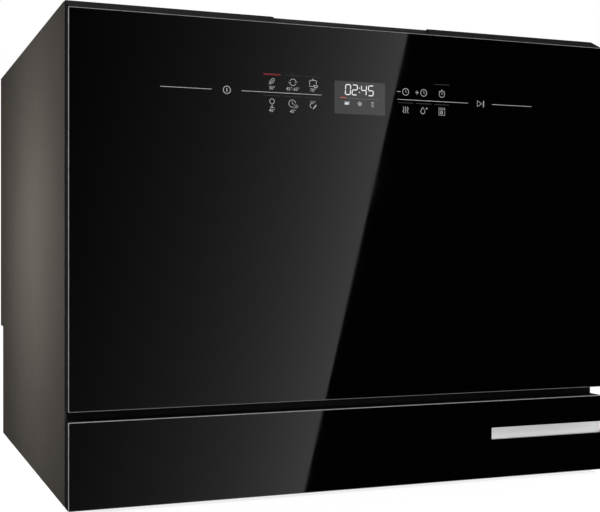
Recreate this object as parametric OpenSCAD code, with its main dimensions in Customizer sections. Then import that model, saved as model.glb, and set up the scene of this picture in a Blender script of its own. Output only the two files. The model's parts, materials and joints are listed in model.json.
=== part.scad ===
// Countertop dishwasher with a drop-down glass door, a pull-out rack and the works inside.
// Millimetres. X runs to the right, Y to the back, Z up. The origin is under the middle of the
// cabinet, on the table.

/* [Cabinet] */
// Width of the cabinet
body_w = 551; // [545:1:580]
// Depth from the door glass to the back edge of the sides
body_d = 500; // [490:1:530]
// Height from the table to the worktop
body_h = 450; // [446:1:470]
// Thickness of the steel sheet
sheet_t = 1.2; // [0.8:0.1:1.5]
// Width of the flanges folded along the sheets
flange_w = 14; // [10:1:15]
// Thickness of the worktop
worktop_t = 10; // [8:0.5:11]
// How far the worktop's front edge lies behind the front edges of the sides
worktop_set = 3; // [2:0.5:5]
// Height of the step in the back
step_h = 137; // [130:1:150]
// Depth of the step, which leaves room for the hoses
step_d = 24; // [20:1:30]
// How far the rear covers lie inside the back edge of the sides
rear_set = 1.6; // [1.5:0.1:3]

/* [Plinth] */
// Height of the plinth panel
plinth_h = 77.2; // [70:0.1:80]
// Gap between the plinth and the door
door_gap = 8.7; // [7:0.1:12]
// Length of the bare metal strip
strip_l = 130; // [90:1:160]
// Height of the strip
strip_h = 12; // [8:0.5:16]
// Thickness of the strip, let into the glass
strip_t = 1; // [0.6:0.1:1.5]
// Height of the strip's lower edge above the plinth's lower edge
strip_up = 38.3; // [30:0.1:45]

/* [Door] */
// Thickness of the glass
glass_t = 4; // [3:0.5:5]
// Thickness of the outer door, which stands in front of the cabinet
outer_t = 19; // [18:0.5:22]
// Seam between the outer door and the sides
seam = 0.5; // [0.4:0.1:1.5]
// Thickness of the inner door behind the outer one
inner_t = 15; // [13:0.5:17]
// Lap of the inner door over the tub's edge
door_lap = 9; // [8:0.5:10]
// Height of the inner door's lower edge above the outer door's
door_foot = 11; // [10:0.5:13]
// Height of the sloping cap above the glass
cap_h = 9; // [7:0.5:10]
// Depth of the cap's slope
cap_run = 18; // [15:0.5:18]
// Height of the cap's foot behind the glass
cap_foot = 15; // [12:1:18]
// Width of the grip recess
grip_w = 163; // [120:1:200]
// Thickness of the lip in front of the grip recess
grip_lip = 6; // [5.5:0.5:7]
// Depth of the grip recess
grip_deep = 19; // [15:1:21]
// Slope of the recess ends, as a width
grip_slope = 7; // [3:1:10]
// Wall of the moulded door frame
frame_t = 3; // [2.5:0.1:3.5]
// Skin of the door frame behind the glass
skin_t = 2.5; // [2:0.1:3]

/* [Hinge] */
// Distance of the hinge axis behind the front of the glass
hinge_in = 9; // [9:0.1:9.5]
// Height of the hinge axis above the door's lower edge
hinge_up = 5; // [4.8:0.1:5.2]
// Radius of the hinge pin
pin_r = 2.5; // [2:0.1:2.6]
// Radius of the eye round the pin
eye_r = 4.6; // [4.4:0.1:4.8]
// Thickness of the hinge bracket
bracket_t = 3; // [2.5:0.1:3.5]
// Distance of the hinge bracket beyond the edge of the inner door
bracket_off = 4.5; // [4:0.1:5.5]

/* [Tub] */
// Space between the tub and the outside of the cabinet, on each side
side_space = 34.5; // [33:0.5:37]
// Height of the tub's floor above the table
tub_z = 128; // [127:1:132]
// Space between the tub's roof and the top of the machine
top_space = 26; // [25:1:30]
// Space between the tub and the back edge of the sides
back_space = 48; // [44:1:60]
// Thickness of the stainless sheet
tub_t = 1; // [0.8:0.1:1.2]
// Width of the tub's flange at the sides
tub_flange = 27; // [25:0.5:28]
// Radius of the tub's corners
tub_r = 22; // [15:1:26]
// Space for the seal between the inner door and the tub
seal_gap = 8; // [7:0.5:9]
// Thickness of the felt round the tub
felt_t = 6; // [4:0.5:6.5]

/* [Rack] */
// Radius of the rack's wire
wire_r = 2; // [1.8:0.1:2.2]
// Height of the rack's base above the tub's floor
rack_up = 48; // [46:1:52]
// Height of the rack
rack_h = 120; // [100:1:130]
// Space between the rack and the side of the tub
rack_side = 26; // [25:0.5:30]
// Travel of the rack
rack_pull = 188.5; // [150:0.5:190]
// Gap between the inner door and the rack's top rim
rack_gap = 25; // [24:1:30]
// How far the foot of the rack's front stands behind its rim
rack_rake = 15; // [12:1:20]
// Spacing of the base wires
wire_pitch = 36; // [30:1:50]
// Radius of the rack wheels
wheel_r = 12; // [10:0.5:12.5]
// Width of the rack wheels
wheel_w = 8; // [6:0.5:8.5]
// Clearance of the wheels in their rails
rail_play = 0.3; // [0.2:0.1:0.6]
// Thickness of the rail sheet
rail_t = 1.5; // [1.2:0.1:2]
// Width of the rail
rail_w = 14; // [13:0.5:14.5]
// Height of the folding tines
tine_h = 68; // [50:1:72]
// Distance of the folding tines behind the foot of the rack's front
tine_in = 172; // [160:1:180]
// Width of the cup shelf
shelf_w = 88; // [70:1:95]
// Length of the cup shelf
shelf_l = 190; // [150:1:200]

/* [Cutlery basket] */
// Length of the basket, across the rack
basket_l = 141; // [120:1:150]
// Width of the basket
basket_w = 66; // [55:1:70]
// Height of the basket's body
basket_h = 104; // [90:1:108]
// Wall of the basket
basket_t = 1.8; // [1.5:0.1:2.2]

/* [Water] */
// Reach of the spray arm
arm_r = 185; // [150:1:190]
// Thickness of the spray arm
arm_t = 11; // [9:0.5:12]
// Radius of the filter cylinder
filter_r = 36; // [32:0.5:38]
// Radius of the sump's bowl
bowl_r = 56; // [52:1:58]
// Radius of the salt cap
salt_r = 33; // [30:0.5:36]
// Radius of the threaded water inlet, G 3/4
inlet_r = 13.2; // [12:0.1:14]
// Length of the threaded water inlet
inlet_l = 16; // [12:1:17]
// Radius of the drain spigot
drain_r = 10.5; // [8:0.5:12]
// Length of the drain spigot
drain_l = 20; // [14:1:20]
// Distance of the water inlet from the outside of the left side
inlet_side = 95.5; // [90:0.5:110]
// Distance of the drain spigot from the outside of the right side
drain_side = 80.5; // [78:0.5:90]
// Depth of the water inlet and the drain spigot below the tub
pipe_drop = 36; // [33:1:40]
// Distance between the drain spigot and the gland of the mains lead
gland_off = 85; // [60:1:95]
// Depth of the gland below the tub
gland_drop = 40; // [36:1:45]

/* [Dispenser] */
// Width of the dispenser
disp_w = 134; // [128:1:150]
// Height of the dispenser
disp_h = 146; // [140:1:160]
// Length of the sliding lid
lid_l = 60; // [50:1:62]
// Width of the sliding lid
lid_w = 66; // [50:1:70]
// Radius of the rinse aid cap
cap_r = 14; // [10:0.5:16]

/* [Feet] */
// Height of the gap under the base
foot_gap = 3.2; // [3:0.1:8]
// Radius of a foot's pad
foot_r = 19; // [14:1:22]
// Radius of a foot's screw, M8
screw_r = 4; // [3:0.5:4]
// Distance of the feet from the outside of the sides
foot_side = 40; // [38:1:45]
// Distance of the front feet behind the door glass
foot_front = 75; // [60:1:90]
// Distance of the rear feet in front of the stepped back
foot_rear = 36; // [30:1:45]

/* [Hidden] */
round_fn = 64;
wire_fn = 6;
eps = 1;
fit = 0.3;
run_fit = 0.05;

// Planes across the depth
xs = body_w / 2;
yf = -body_d / 2;
yr = body_d / 2;
y_skin = yf + glass_t;
y_door = yf + outer_t;
y_cab = y_door + seam;
y_inner = y_door + inner_t;
y_tub = y_inner + seal_gap;
y_back = yr - back_space;
y_step = yr - step_d;
y_cover = yr - rear_set;

// Thickness of the worktop's outer sheet with its rolled nose
top_skin = 1.5;

// Levels
z_base = foot_gap;
z_plinth = z_base + plinth_h;
z_door = z_plinth + door_gap;
z_glass = body_h - cap_h;
z_sheet = body_h - top_skin;
z_under = body_h - worktop_t;
z_roof = body_h - top_space;
z_floor = tub_z + tub_t;
xt = xs - side_space;
xi = xt - tub_t;

// Hinge axis
y_hinge = yf + hinge_in;
z_hinge = z_door + hinge_up;

// Inner door
inner_x = xt + door_lap;
inner_low = z_door + door_foot;
inner_high = z_roof + door_lap;
bracket_x = inner_x + bracket_off;

// Colours
black = "#17171a";
glass_black = "#060607";
brown = "#565049";
steel = "#b8babd";
dark_steel = "#6d6f72";
grey = "#8a8d90";
pale = "#d5d7d8";
felt = "#3a3836";
white = "#ececec";
green = "#2f5d40";
blue = "#5f7f9c";

// A box between two corners
module block(x0, x1, y0, y1, z0, z1) {
  translate([x0, y0, z0]) cube([x1 - x0, y1 - y0, z1 - z0]);
}

// A profile in Y and Z, carried along X
module along_x(x0, x1) {
  translate([x0, 0, 0]) rotate([90, 0, 90]) linear_extrude(x1 - x0) children();
}

// A profile in X and Z, carried along Y
module along_y(y0, y1) {
  translate([0, y1, 0]) rotate([90, 0, 0]) linear_extrude(y1 - y0) children();
}

// A rectangle with round corners
module round_rect(x0, x1, z0, z1, r) {
  translate([x0 + r, z0]) square([x1 - x0 - 2 * r, z1 - z0]);
  translate([x0, z0 + r]) square([x1 - x0, z1 - z0 - 2 * r]);
  for (x = [x0 + r, x1 - r], z = [z0 + r, z1 - r])
    translate([x, z]) circle(r, $fn = round_fn);
}

// Round bars along the three directions
module bar_x(x0, x1, y, z, r) {
  translate([x0, y, z]) rotate([0, 90, 0]) cylinder(h = x1 - x0, r = r, $fn = round_fn);
}
module bar_y(y0, y1, x, z, r) {
  translate([x, y1, z]) rotate([90, 0, 0]) cylinder(h = y1 - y0, r = r, $fn = round_fn);
}
module bar_z(z0, z1, x, y, r) {
  translate([x, y, z0]) cylinder(h = z1 - z0, r = r, $fn = round_fn);
}

// A straight wire between two points
module wire(a, b, r = wire_r) {
  d = b - a;
  l = norm(d);
  translate(a) rotate([0, acos(d[2] / l), atan2(d[1], d[0])])
    cylinder(h = l, r = r, $fn = wire_fn);
}

// Feet and base tray
foot_x = xs - foot_side;
foot_y = [yf + foot_front, y_step - foot_rear];
pad_t = foot_gap - 0.2;
boss_r = screw_r + 5;
tray_t = 3;
tray_front = y_cab + 4;
tray_h = 58;
rib_h = 8;
rib_t = 2;
ribs = 4;
tray_x = xs - sheet_t;
rib_pitch = 2 * tray_x / (ribs + 1.5);
post_in = 40;
post_x = xi - 22;
post_y = [y_tub + post_in, y_back - post_in];
post_web = 48;
screw_top = z_base + 34;

module base_tray() color(black) {
  z1 = z_base + tray_h;
  difference() {
    union() {
      block(-tray_x, tray_x, tray_front, y_step - sheet_t, z_base, z_base + tray_t);
      difference() {
        block(-tray_x, tray_x, tray_front, y_step - sheet_t, z_base, z1);
        block(-tray_x + tray_t, tray_x - tray_t, tray_front + tray_t,
          y_step - sheet_t - tray_t, z_base + tray_t, z1 + eps);
      }
      for (s = [-1, 1], y = foot_y) bar_z(z_base, screw_top + 4, s * foot_x, y, boss_r);
      for (s = [-1, 1], y = post_y) {
        bar_z(z_base, tub_z, s * post_x, y, boss_r);
        block(s * post_x - tray_t / 2, s * post_x + tray_t / 2, y - post_web / 2,
          y + post_web / 2, z_base, z1);
      }
      for (i = [0 : ribs - 1]) {
        x = (i - (ribs - 1) / 2) * rib_pitch;
        block(x - rib_t / 2, x + rib_t / 2, tray_front, y_step - sheet_t, z_base,
          z_base + rib_h);
      }
    }
    for (s = [-1, 1], y = foot_y)
      bar_z(z_base - eps, screw_top, s * foot_x, y, screw_r + run_fit);
  }
}

module foot(x, y) color(black) {
  bar_z(0, pad_t, x, y, foot_r);
  bar_z(0, screw_top - 2, x, y, screw_r);
}

// Sides: one sheet with the step cut out and flanges folded in along the front, top and back
module side_sheet() color(brown) {
  z0 = z_base;
  x0 = xs - sheet_t;
  y0 = y_cab;
  along_x(x0, xs) polygon([[y0, z0], [y_step, z0], [y_step, step_h], [yr, step_h],
    [yr, z_sheet], [y0, z_sheet]]);
  block(xs - flange_w, x0 + sheet_t / 2, y0, y0 + sheet_t, z_base, z_sheet);
  block(xs - flange_w, x0 + sheet_t / 2, y0, y_cover - sheet_t, z_sheet - sheet_t, z_sheet);
  block(xs - flange_w, x0 + sheet_t / 2, y_cover - 2 * sheet_t, y_cover - sheet_t,
    step_h, z_sheet);
}

module worktop() color(brown) {
  y0 = y_cab + worktop_set;
  lid = body_h - z_sheet;
  in_x = xs - flange_w - fit;
  along_x(-xs, xs) union() {
    translate([y0 + lid / 2, z_sheet]) square([yr - y0 - lid / 2, lid]);
    translate([y0 + lid / 2, body_h - lid / 2]) circle(lid / 2, $fn = round_fn);
  }
  block(-in_x, in_x, y0 + fit, y_cover - 2 * sheet_t - fit, z_under, z_sheet + lid / 2);
}

// Rear covers, with rows of vents and the holes for the connections
inlet_x = -xs + inlet_side;
inlet_z = tub_z - pipe_drop;
drain_x = xs - drain_side;
drain_z = tub_z - pipe_drop;
gland_x = drain_x - gland_off;
gland_z = tub_z - gland_drop;
gland_r = 8;
stub_gap = 1;
neck = 1.2;
hole_fit = 2.5;
vent_l = 46;
vent_h = 4;
vent_pitch = 11;

module vents(x, z, n) {
  for (i = [0 : n - 1])
    block(x - vent_l / 2, x + vent_l / 2, y_step - 10, yr, z + i * vent_pitch,
      z + i * vent_pitch + vent_h);
}

module rear_cover_upper() color(dark_steel) {
  difference() {
    block(-xs + sheet_t + fit, xs - sheet_t - fit, y_cover - sheet_t, y_cover,
      step_h, z_sheet - fit);
    for (x = [-120, 0, 120]) vents(x, body_h - 110, 5);
    for (p = screw_spots) bar_y(yr - 20, yr, p[0], p[1], 1.5);
  }
}

module rear_cover_lower() color(dark_steel) {
  x1 = xs - sheet_t - fit;
  difference() {
    union() {
      block(-x1, x1, y_step - sheet_t, y_step, z_base, step_h - sheet_t);
      block(-x1, x1, y_step - sheet_t, y_cover, step_h - sheet_t, step_h);
    }
    bar_y(y_step - 10, yr, inlet_x, inlet_z, inlet_r + hole_fit);
    bar_y(y_step - 10, yr, drain_x, drain_z, drain_r + hole_fit);
    bar_y(y_step - 10, yr, gland_x, gland_z, gland_r + fit);
    for (x = [-70, 0]) vents(x, 40, 5);
  }
}

// Pan-head screws that hold the upper rear cover to the flanges of the sides
screw_head = 1.4;
screw_x = xs - flange_w / 2 - sheet_t / 2;
screw_spots = [for (s = [-1, 1], f = [0.1, 0.5, 0.9])
  [s * screw_x, step_h + f * (z_sheet - step_h)]];

module cover_screws() color(steel) {
  for (p = screw_spots) {
    bar_y(y_cover - sheet_t, y_cover, p[0], p[1], 1.5);
    bar_y(y_cover, y_cover + screw_head, p[0], p[1], 3.4);
  }
}

// Plinth
strip_x = xs - 1 - strip_l;
strip_z = z_base + strip_up;

module plinth_glass() color(glass_black) {
  difference() {
    block(-xs, xs, yf, y_skin, z_base, z_plinth);
    block(strip_x, strip_x + strip_l, yf - eps, yf + strip_t, strip_z, strip_z + strip_h);
  }
}

module trim_strip() color(pale) {
  block(strip_x, strip_x + strip_l, yf, yf + strip_t, strip_z, strip_z + strip_h);
}

module plinth_carrier() color(black) {
  difference() {
    block(-xs, xs, y_skin, y_door, z_base, z_plinth);
    for (i = [0 : 5]) {
      w = (body_w - 7 * frame_t) / 6;
      x0 = -xs + frame_t + i * (w + frame_t);
      block(x0, x0 + w, y_skin + skin_t, y_door + eps, z_base + frame_t, z_plinth - frame_t);
    }
  }
  for (x = [-160, 0, 160])
    block(x - 12, x + 12, y_skin + skin_t, tray_front, z_base + 12, z_base + 40);
}

// A channel between the base and the tub's flange, seen under the open door
cross_y = y_inner + 2;
cross_x = inner_x + 1;

module front_crossmember() color(steel) {
  difference() {
    block(-cross_x, cross_x, cross_y, y_tub, z_base + tray_h, flange_low);
    block(-cross_x - eps, cross_x + eps, cross_y + sheet_t, y_tub + eps,
      z_base + tray_h + sheet_t, flange_low - sheet_t);
  }
}

// Tub, drawn from stainless sheet, open to the front
hub_y = (y_tub + y_back) / 2;
filter_x = 95;
filter_y = hub_y - 57;
salt_x = -140;
salt_y = hub_y + 63;
hub_r = 13;
flange_x = xt + tub_flange;
flange_low = tub_z - flange_w;
flange_high = z_roof + door_lap + 1;
notch_x = 24;

module tub() color(steel) {
  difference() {
    union() {
      along_y(y_tub, y_back) round_rect(-xt, xt, tub_z, z_roof, tub_r);
      along_y(y_tub, y_tub + sheet_t) round_rect(-flange_x, flange_x, flange_low,
        flange_high, tub_r / 2);
    }
    along_y(y_tub - eps, y_back - tub_t)
      round_rect(-xi, xi, z_floor, z_roof - tub_t, tub_r - tub_t);
    bar_z(tub_z - eps, z_floor + eps, filter_x, filter_y, bowl_r);
    bar_z(tub_z - eps, z_floor + eps, 0, hub_y, hub_r + fit);
    bar_z(tub_z - eps, z_floor + eps, salt_x, salt_y, salt_r - 4);
    block(-notch_x, notch_x, y_tub - eps, y_tub + sheet_t + eps, z_roof + 7.5,
      flange_high + eps);
  }
}

// Felt over the tub's sides and roof
module tub_insulation() color(felt) {
  y0 = y_tub + sheet_t + 50;
  difference() {
    along_y(y0, y_back) round_rect(-xt - felt_t, xt + felt_t, tub_z + 12,
      z_roof + felt_t, tub_r);
    along_y(y0 - eps, y_back + eps) round_rect(-xt, xt, tub_z, z_roof, tub_r);
    block(-xt, xt, y0 - eps, y_back + eps, tub_z, tub_z + 40);
  }
}

module door_gasket() color(black) {
  seal = 7.5;
  difference() {
    along_y(y_inner + fit, y_tub) round_rect(-xt - 1 - seal, xt + 1 + seal,
      tub_z - 1 - seal, z_roof + 1 + seal, tub_r + seal);
    along_y(y_inner, y_tub + eps) round_rect(-xt - 1, xt + 1, tub_z - 1, z_roof + 1, tub_r);
    along_y(y_inner, y_tub - 3) round_rect(-xt - 4, xt + 4, tub_z - 4, z_roof + 4,
      tub_r + 3);
  }
}

// Rails: a C-channel on each side of the tub, open to the inside and to the front
z_rack = tub_z + rack_up;
z_wheel = z_rack + 8;
rail_in = wheel_r + rail_play;
rail_front = y_tub + 6;
rail_back = y_back - 14;

module rail() color(steel) {
  along_y(rail_front, rail_back) difference() {
    translate([xi - rail_w, z_wheel - rail_in - rail_t])
      square([rail_w, 2 * (rail_in + rail_t)]);
    translate([xi - rail_w - eps, z_wheel - rail_in])
      square([rail_w + eps - rail_t, 2 * rail_in]);
  }
}

// Sump under the tub, with the bowl that the filter stands in
sump_low = tub_z - 62;
sump_wall = 3;

module sump() color(grey) {
  difference() {
    union() {
      bar_z(sump_low, tub_z, filter_x, filter_y, bowl_r + sump_wall);
      bar_z(tub_z - 4, tub_z, filter_x, filter_y, bowl_r + 12);
      bar_y(filter_y, hub_y + 38, filter_x, sump_low + 20, 16);
      bar_x(filter_x, drain_x - 32, filter_y, sump_low + 20, 12);
    }
    bar_z(sump_low + sump_wall, tub_z + eps, filter_x, filter_y, bowl_r);
  }
}

// Fine filter: a dished plate with rings of holes round the filter cylinder
collar_r = filter_r + 2.5;
plate_low = tub_z - 4;

module filter_plate() color(steel) {
  translate([filter_x, filter_y, 0]) difference() {
    rotate_extrude($fn = round_fn) polygon([[collar_r, plate_low], [collar_r + 2, plate_low],
      [bowl_r - 2, z_floor], [bowl_r + 16, z_floor], [bowl_r + 16, z_floor + 1],
      [bowl_r - 3, z_floor + 1], [collar_r + 1, plate_low + 1.4], [collar_r, plate_low + 1.4]]);
    for (k = [0 : 2], a = [0 : 20 : 340])
      rotate([0, 0, a + k * 10]) translate([collar_r + 4 + k * 4.5, 0, tub_z - 10])
        cylinder(h = 20, r = 1.3, $fn = round_fn);
  }
}

// Micro filter: a cup with slotted walls, a collar and a cross grip
filter_low = sump_low + sump_wall + 8;
grip_z = z_floor + 6;

module filter_cylinder() color(grey) {
  translate([filter_x, filter_y, 0]) {
    difference() {
      union() {
        translate([0, 0, filter_low]) cylinder(h = grip_z - filter_low, r = filter_r - 1.5,
          $fn = round_fn);
        translate([0, 0, plate_low + 1.4 + fit]) cylinder(h = 3, r = collar_r - fit,
          $fn = round_fn);
      }
      translate([0, 0, filter_low + 2]) cylinder(h = body_h, r = filter_r - 4, $fn = round_fn);
      for (a = [0 : 30 : 330])
        rotate([0, 0, a]) translate([0, -2.5, filter_low + 8])
          cube([filter_r + eps, 5, plate_low - filter_low - 14]);
    }
    for (a = [0, 90])
      rotate([0, 0, a]) translate([-filter_r + 3, -2, plate_low])
        cube([2 * filter_r - 6, 4, grip_z + 6 - plate_low]);
    translate([0, 0, filter_low]) cylinder(h = grip_z + 8 - filter_low, r = 6, $fn = round_fn);
  }
}

// Pipe from the pump to the spray arm, with the spigot that the arm turns on
arm_low = z_floor + 21;
spigot_r = 9;
spigot_top = arm_low + arm_t - 2;
pump_z = z_base + tray_t + 42;
pump_y = hub_y + 75;
pump_r = 35;
pump_l = 96;

module spray_feed() color(grey) {
  difference() {
    union() {
      bar_z(pump_z, arm_low - 8, 0, hub_y, hub_r);
      bar_z(arm_low - 8, spigot_top, 0, hub_y, spigot_r);
      bar_z(tub_z - 8, tub_z, 0, hub_y, hub_r + 9);
      bar_y(hub_y, pump_y - pump_r, 0, pump_z, hub_r);
      translate([0, hub_y, pump_z]) sphere(hub_r, $fn = round_fn);
    }
    bar_z(pump_z, body_h, 0, hub_y, spigot_r - 3);
  }
}

// Spray arm: two blades, thick at the hub and thin at the round tips, with nozzle holes
arm_hub = 22;
tip_r = 13;

module blade() {
  reach = arm_r - tip_r;
  linear_extrude(arm_t) union() {
    polygon([[0, -arm_hub], [reach * 0.45, -arm_hub * 0.95], [reach, -tip_r],
      [reach, tip_r], [reach * 0.45, arm_hub * 0.55], [0, arm_hub * 0.6]]);
    translate([reach, 0]) circle(tip_r, $fn = round_fn);
  }
}

module spray_arm() color(grey) {
  translate([0, hub_y, arm_low]) difference() {
    union() {
      for (a = [0, 180]) rotate([0, 0, a]) difference() {
        blade();
        for (r = [0.35, 0.5, 0.65, 0.8, 0.93]) translate([arm_r * r, -4, arm_t - 2])
          cube([7, 2, 3]);
      }
      translate([0, 0, -6]) cylinder(h = arm_t + 8, r = arm_hub, $fn = round_fn);
    }
    translate([0, 0, -7]) cylinder(h = spigot_top - arm_low + fit + 7, r = spigot_r + run_fit,
      $fn = round_fn);
  }
}

// Circulation pump with the heater ring, on two rubber saddles
module circulation_pump() color(dark_steel) {
  difference() {
    union() {
      bar_x(-pump_l / 2, pump_l / 2, pump_y, pump_z, pump_r);
      bar_x(-pump_l / 2 - 28, -pump_l / 2, pump_y, pump_z, pump_r - 9);
      bar_x(pump_l / 2, filter_x - 16, pump_y, pump_z, 14);
    }
    for (x = [-20, -8, 4, 16]) difference() {
      bar_x(x, x + 4, pump_y, pump_z, pump_r + eps);
      bar_x(x - eps, x + 4 + eps, pump_y, pump_z, pump_r - 3);
    }
  }
  for (x = [-pump_l / 2 + 6, pump_l / 2 - 18])
    block(x, x + 12, pump_y - 16, pump_y + 16, z_base + tray_t, pump_z - pump_r + 6);
  bar_y(hub_y + 38, pump_y + 14, filter_x, sump_low + 20, 16);
}

// Drain pump beside the sump, and the pipe and spigot that the drain hose pushes on
drain_pump_r = 24;

module drain_pump() color(dark_steel) {
  bar_x(drain_x - 32, drain_x + 30, filter_y, sump_low + 20, drain_pump_r);
  bar_x(drain_x + 30, drain_x + 40, filter_y, sump_low + 20, drain_pump_r - 10);
  block(drain_x - 20, drain_x + 20, filter_y - 16, filter_y + 16, z_base + tray_t,
    sump_low + 20 - drain_pump_r + 5);
}

module drain_outlet() color(black) {
  y0 = filter_y + drain_pump_r - 2;
  difference() {
    union() {
      bar_y(y0 + 2 + fit, y_step + stub_gap, drain_x, drain_z, drain_r - neck);
      bar_y(y_step + stub_gap, y_step + drain_l, drain_x, drain_z, drain_r);
      for (k = [0 : 2]) bar_y(y_step - 5 - k * 9, y_step - 2 - k * 9, drain_x, drain_z,
        drain_r + 2);
    }
    bar_y(y0 + 40, yr + eps, drain_x, drain_z, drain_r - 2.5);
  }
}

// Water softener with its salt neck, which opens through the tub's floor
salt_neck = salt_r - 5;
salt_bore = salt_neck - 4;
soft_w = 140;
soft_d = 112;

module water_softener() color(white) {
  difference() {
    union() {
      block(salt_x - soft_w * 0.57, salt_x + soft_w * 0.43, salt_y - 50,
        salt_y - 50 + soft_d, z_base + rib_h, tub_z - 26);
      bar_z(tub_z - 30, z_floor + 4, salt_x, salt_y, salt_neck);
      bar_z(tub_z - 6, tub_z, salt_x, salt_y, salt_r + 6);
    }
    bar_z(z_base + 24, z_floor + 5, salt_x, salt_y, salt_bore);
  }
}

module salt_cap() color(white) {
  translate([salt_x, salt_y, 0]) {
    translate([0, 0, z_floor + 4 + fit]) cylinder(h = 7, r = salt_r, $fn = round_fn);
    translate([0, 0, tub_z - 8]) cylinder(h = 16, r = salt_bore - fit, $fn = round_fn);
    translate([-salt_r + 7, -4, z_floor + 8]) cube([2 * salt_r - 14, 8, 9]);
  }
}

// Inlet valve with the threaded stub that the water hose screws on
module inlet_valve() color(white) {
  difference() {
    union() {
      bar_y(y_step - 30, y_step + stub_gap, inlet_x, inlet_z, inlet_r - neck);
      bar_y(y_step + stub_gap, y_step + inlet_l, inlet_x, inlet_z, inlet_r);
      bar_y(y_step - 10, y_step - sheet_t - fit, inlet_x, inlet_z, inlet_r + 6);
      block(inlet_x - 22, inlet_x + 22, y_step - 68, y_step - 28, z_base + tray_t,
        inlet_z + 20);
      bar_z(inlet_z + 20, inlet_z + 34, inlet_x - 8, y_step - 48, 8);
    }
    bar_y(y_step - 12, yr + eps, inlet_x, inlet_z, inlet_r - 3.6);
  }
}

// Water pocket, the flat tank between the tub and the left side
pocket_front = 75;
pocket_rear = 55;
beads = 6;
bead_w = 25;
bead_in = 15;

module water_pocket() color(pale) {
  x1 = -xt - felt_t;
  x0 = -xs + sheet_t + 3;
  y0 = y_tub + pocket_front;
  y1 = y_back - pocket_rear;
  pitch = (y1 - y0 - 2 * bead_in - bead_w) / (beads - 1);
  difference() {
    along_x(x0, x1) round_rect(y0, y1, tub_z + 16, z_roof - 24, 12);
    for (k = [0 : beads - 1])
      along_x(x0 - eps, x0 + 3) round_rect(y0 + bead_in + k * pitch,
        y0 + bead_in + k * pitch + bead_w, tub_z + 34, z_roof - 42, 8);
  }
}

// Power electronics in a box on the base, and the gland that the mains lead would leave by
power_x = -110;
power_w = 120;
power_h = 44;
slots = 10;

module power_module() color(black) {
  top = z_base + rib_h + power_h;
  pitch = power_w / (slots + 2);
  difference() {
    block(power_x, power_x + power_w, tray_front + tray_t + 8, filter_y - bowl_r - 10,
      z_base + rib_h, top);
    for (k = [1 : slots]) block(power_x + k * pitch, power_x + k * pitch + pitch / 3,
      tray_front, y_tub + 30, top - 3, top + eps);
  }
}

module mains_gland() color(black) {
  difference() {
    union() {
      bar_y(y_step - 16, y_step + 14, gland_x, gland_z, gland_r);
      bar_y(y_step, y_step + 5, gland_x, gland_z, gland_r + 4);
      bar_y(y_step - sheet_t - 5, y_step - sheet_t, gland_x, gland_z, gland_r + 4);
    }
    bar_y(y_step - 20, yr, gland_x, gland_z, 4);
  }
}

// Hinges: a steel arm from the base reaches into a slot in the door's foot and carries the pin
arm_back = y_cab + 62;
pin_x0 = inner_x + 1;
pin_x1 = xs - 5;

module hinge_bracket() color(steel) {
  difference() {
    along_x(bracket_x, bracket_x + bracket_t) union() {
      translate([y_hinge, z_hinge]) circle(eye_r, $fn = round_fn);
      polygon([[y_hinge, z_hinge - 3.4], [y_cab + 8, z_hinge - 3.4],
        [y_cab + 20, z_hinge - 26], [y_cab + 20, z_base + tray_h - 26],
        [arm_back, z_base + tray_h - 26], [arm_back, z_hinge + 3.4], [y_hinge, z_hinge + 3.4]]);
    }
    bar_x(bracket_x - eps, bracket_x + bracket_t + eps, y_hinge, z_hinge, pin_r + run_fit / 2);
    for (y = [y_cab + 32, y_cab + 52])
      bar_x(bracket_x - eps, bracket_x + bracket_t + eps, y, z_base + tray_h - 12, 2.5);
  }
  block(bracket_x, tray_x - tray_t, y_cab + 24, arm_back, z_base + tray_h - 26,
    z_base + tray_h - 22);
}

module hinge_pins() color(steel) {
  for (s = [-1, 1])
    bar_x(s > 0 ? pin_x0 : -pin_x1, s > 0 ? pin_x1 : -pin_x0, y_hinge, z_hinge, pin_r);
}

// Counterbalance springs, wound round the outer ends of the pins
spring_x = bracket_x + bracket_t + 4.5;
spring_l = pin_x1 - spring_x - 1.5;

module hinge_springs() color(dark_steel) {
  for (s = [-1, 1]) difference() {
    bar_x(s > 0 ? spring_x : -spring_x - spring_l, s > 0 ? spring_x + spring_l : -spring_x,
      y_hinge, z_hinge, eye_r - 0.2);
    bar_x(s > 0 ? spring_x - eps : -spring_x - spring_l - eps,
      s > 0 ? spring_x + spring_l + eps : -spring_x + eps, y_hinge, z_hinge, pin_r + 0.2);
  }
}

// Door lock behind the tub's flange, and the striker that enters it
lock_x = 40;
strike_low = inner_high + 0.2;
strike_t = 2;
strike_w = 30;
strike_end = y_tub + 8;

module door_lock() color(black) {
  y0 = y_tub + sheet_t;
  difference() {
    block(-lock_x, lock_x, y0, y0 + 48, z_roof + felt_t + 0.5, z_under - 2);
    block(-strike_w / 2 - 3, strike_w / 2 + 3, y0 - eps, y0 + 14, strike_low - 1,
      strike_low + strike_t + 2);
  }
  for (s = [-1, 1])
    block(s > 0 ? lock_x - 12 : -lock_x, s > 0 ? lock_x : -lock_x + 12, y0, y0 + 48,
      z_roof, z_roof + felt_t + 1);
}

module latch_striker() color(steel) {
  difference() {
    block(-strike_w / 2, strike_w / 2, y_door + 4, strike_end, strike_low - 0.2,
      strike_low + strike_t);
    block(-strike_w / 2 + 6, strike_w / 2 - 6, strike_end - 8, strike_end - 4,
      strike_low - eps, body_h);
  }
}

// Door, outer part
slot_t = bracket_t + 2;
slot_x = bracket_x - 1;
control_x = xs - 70.5;
control_h = 52;
control_high = z_glass - 38;
control_low = control_high - control_h;
foot_cut = 3;

module door_glass() color(glass_black) {
  block(-xs, xs, yf, y_skin, z_door, z_glass);
}

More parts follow.
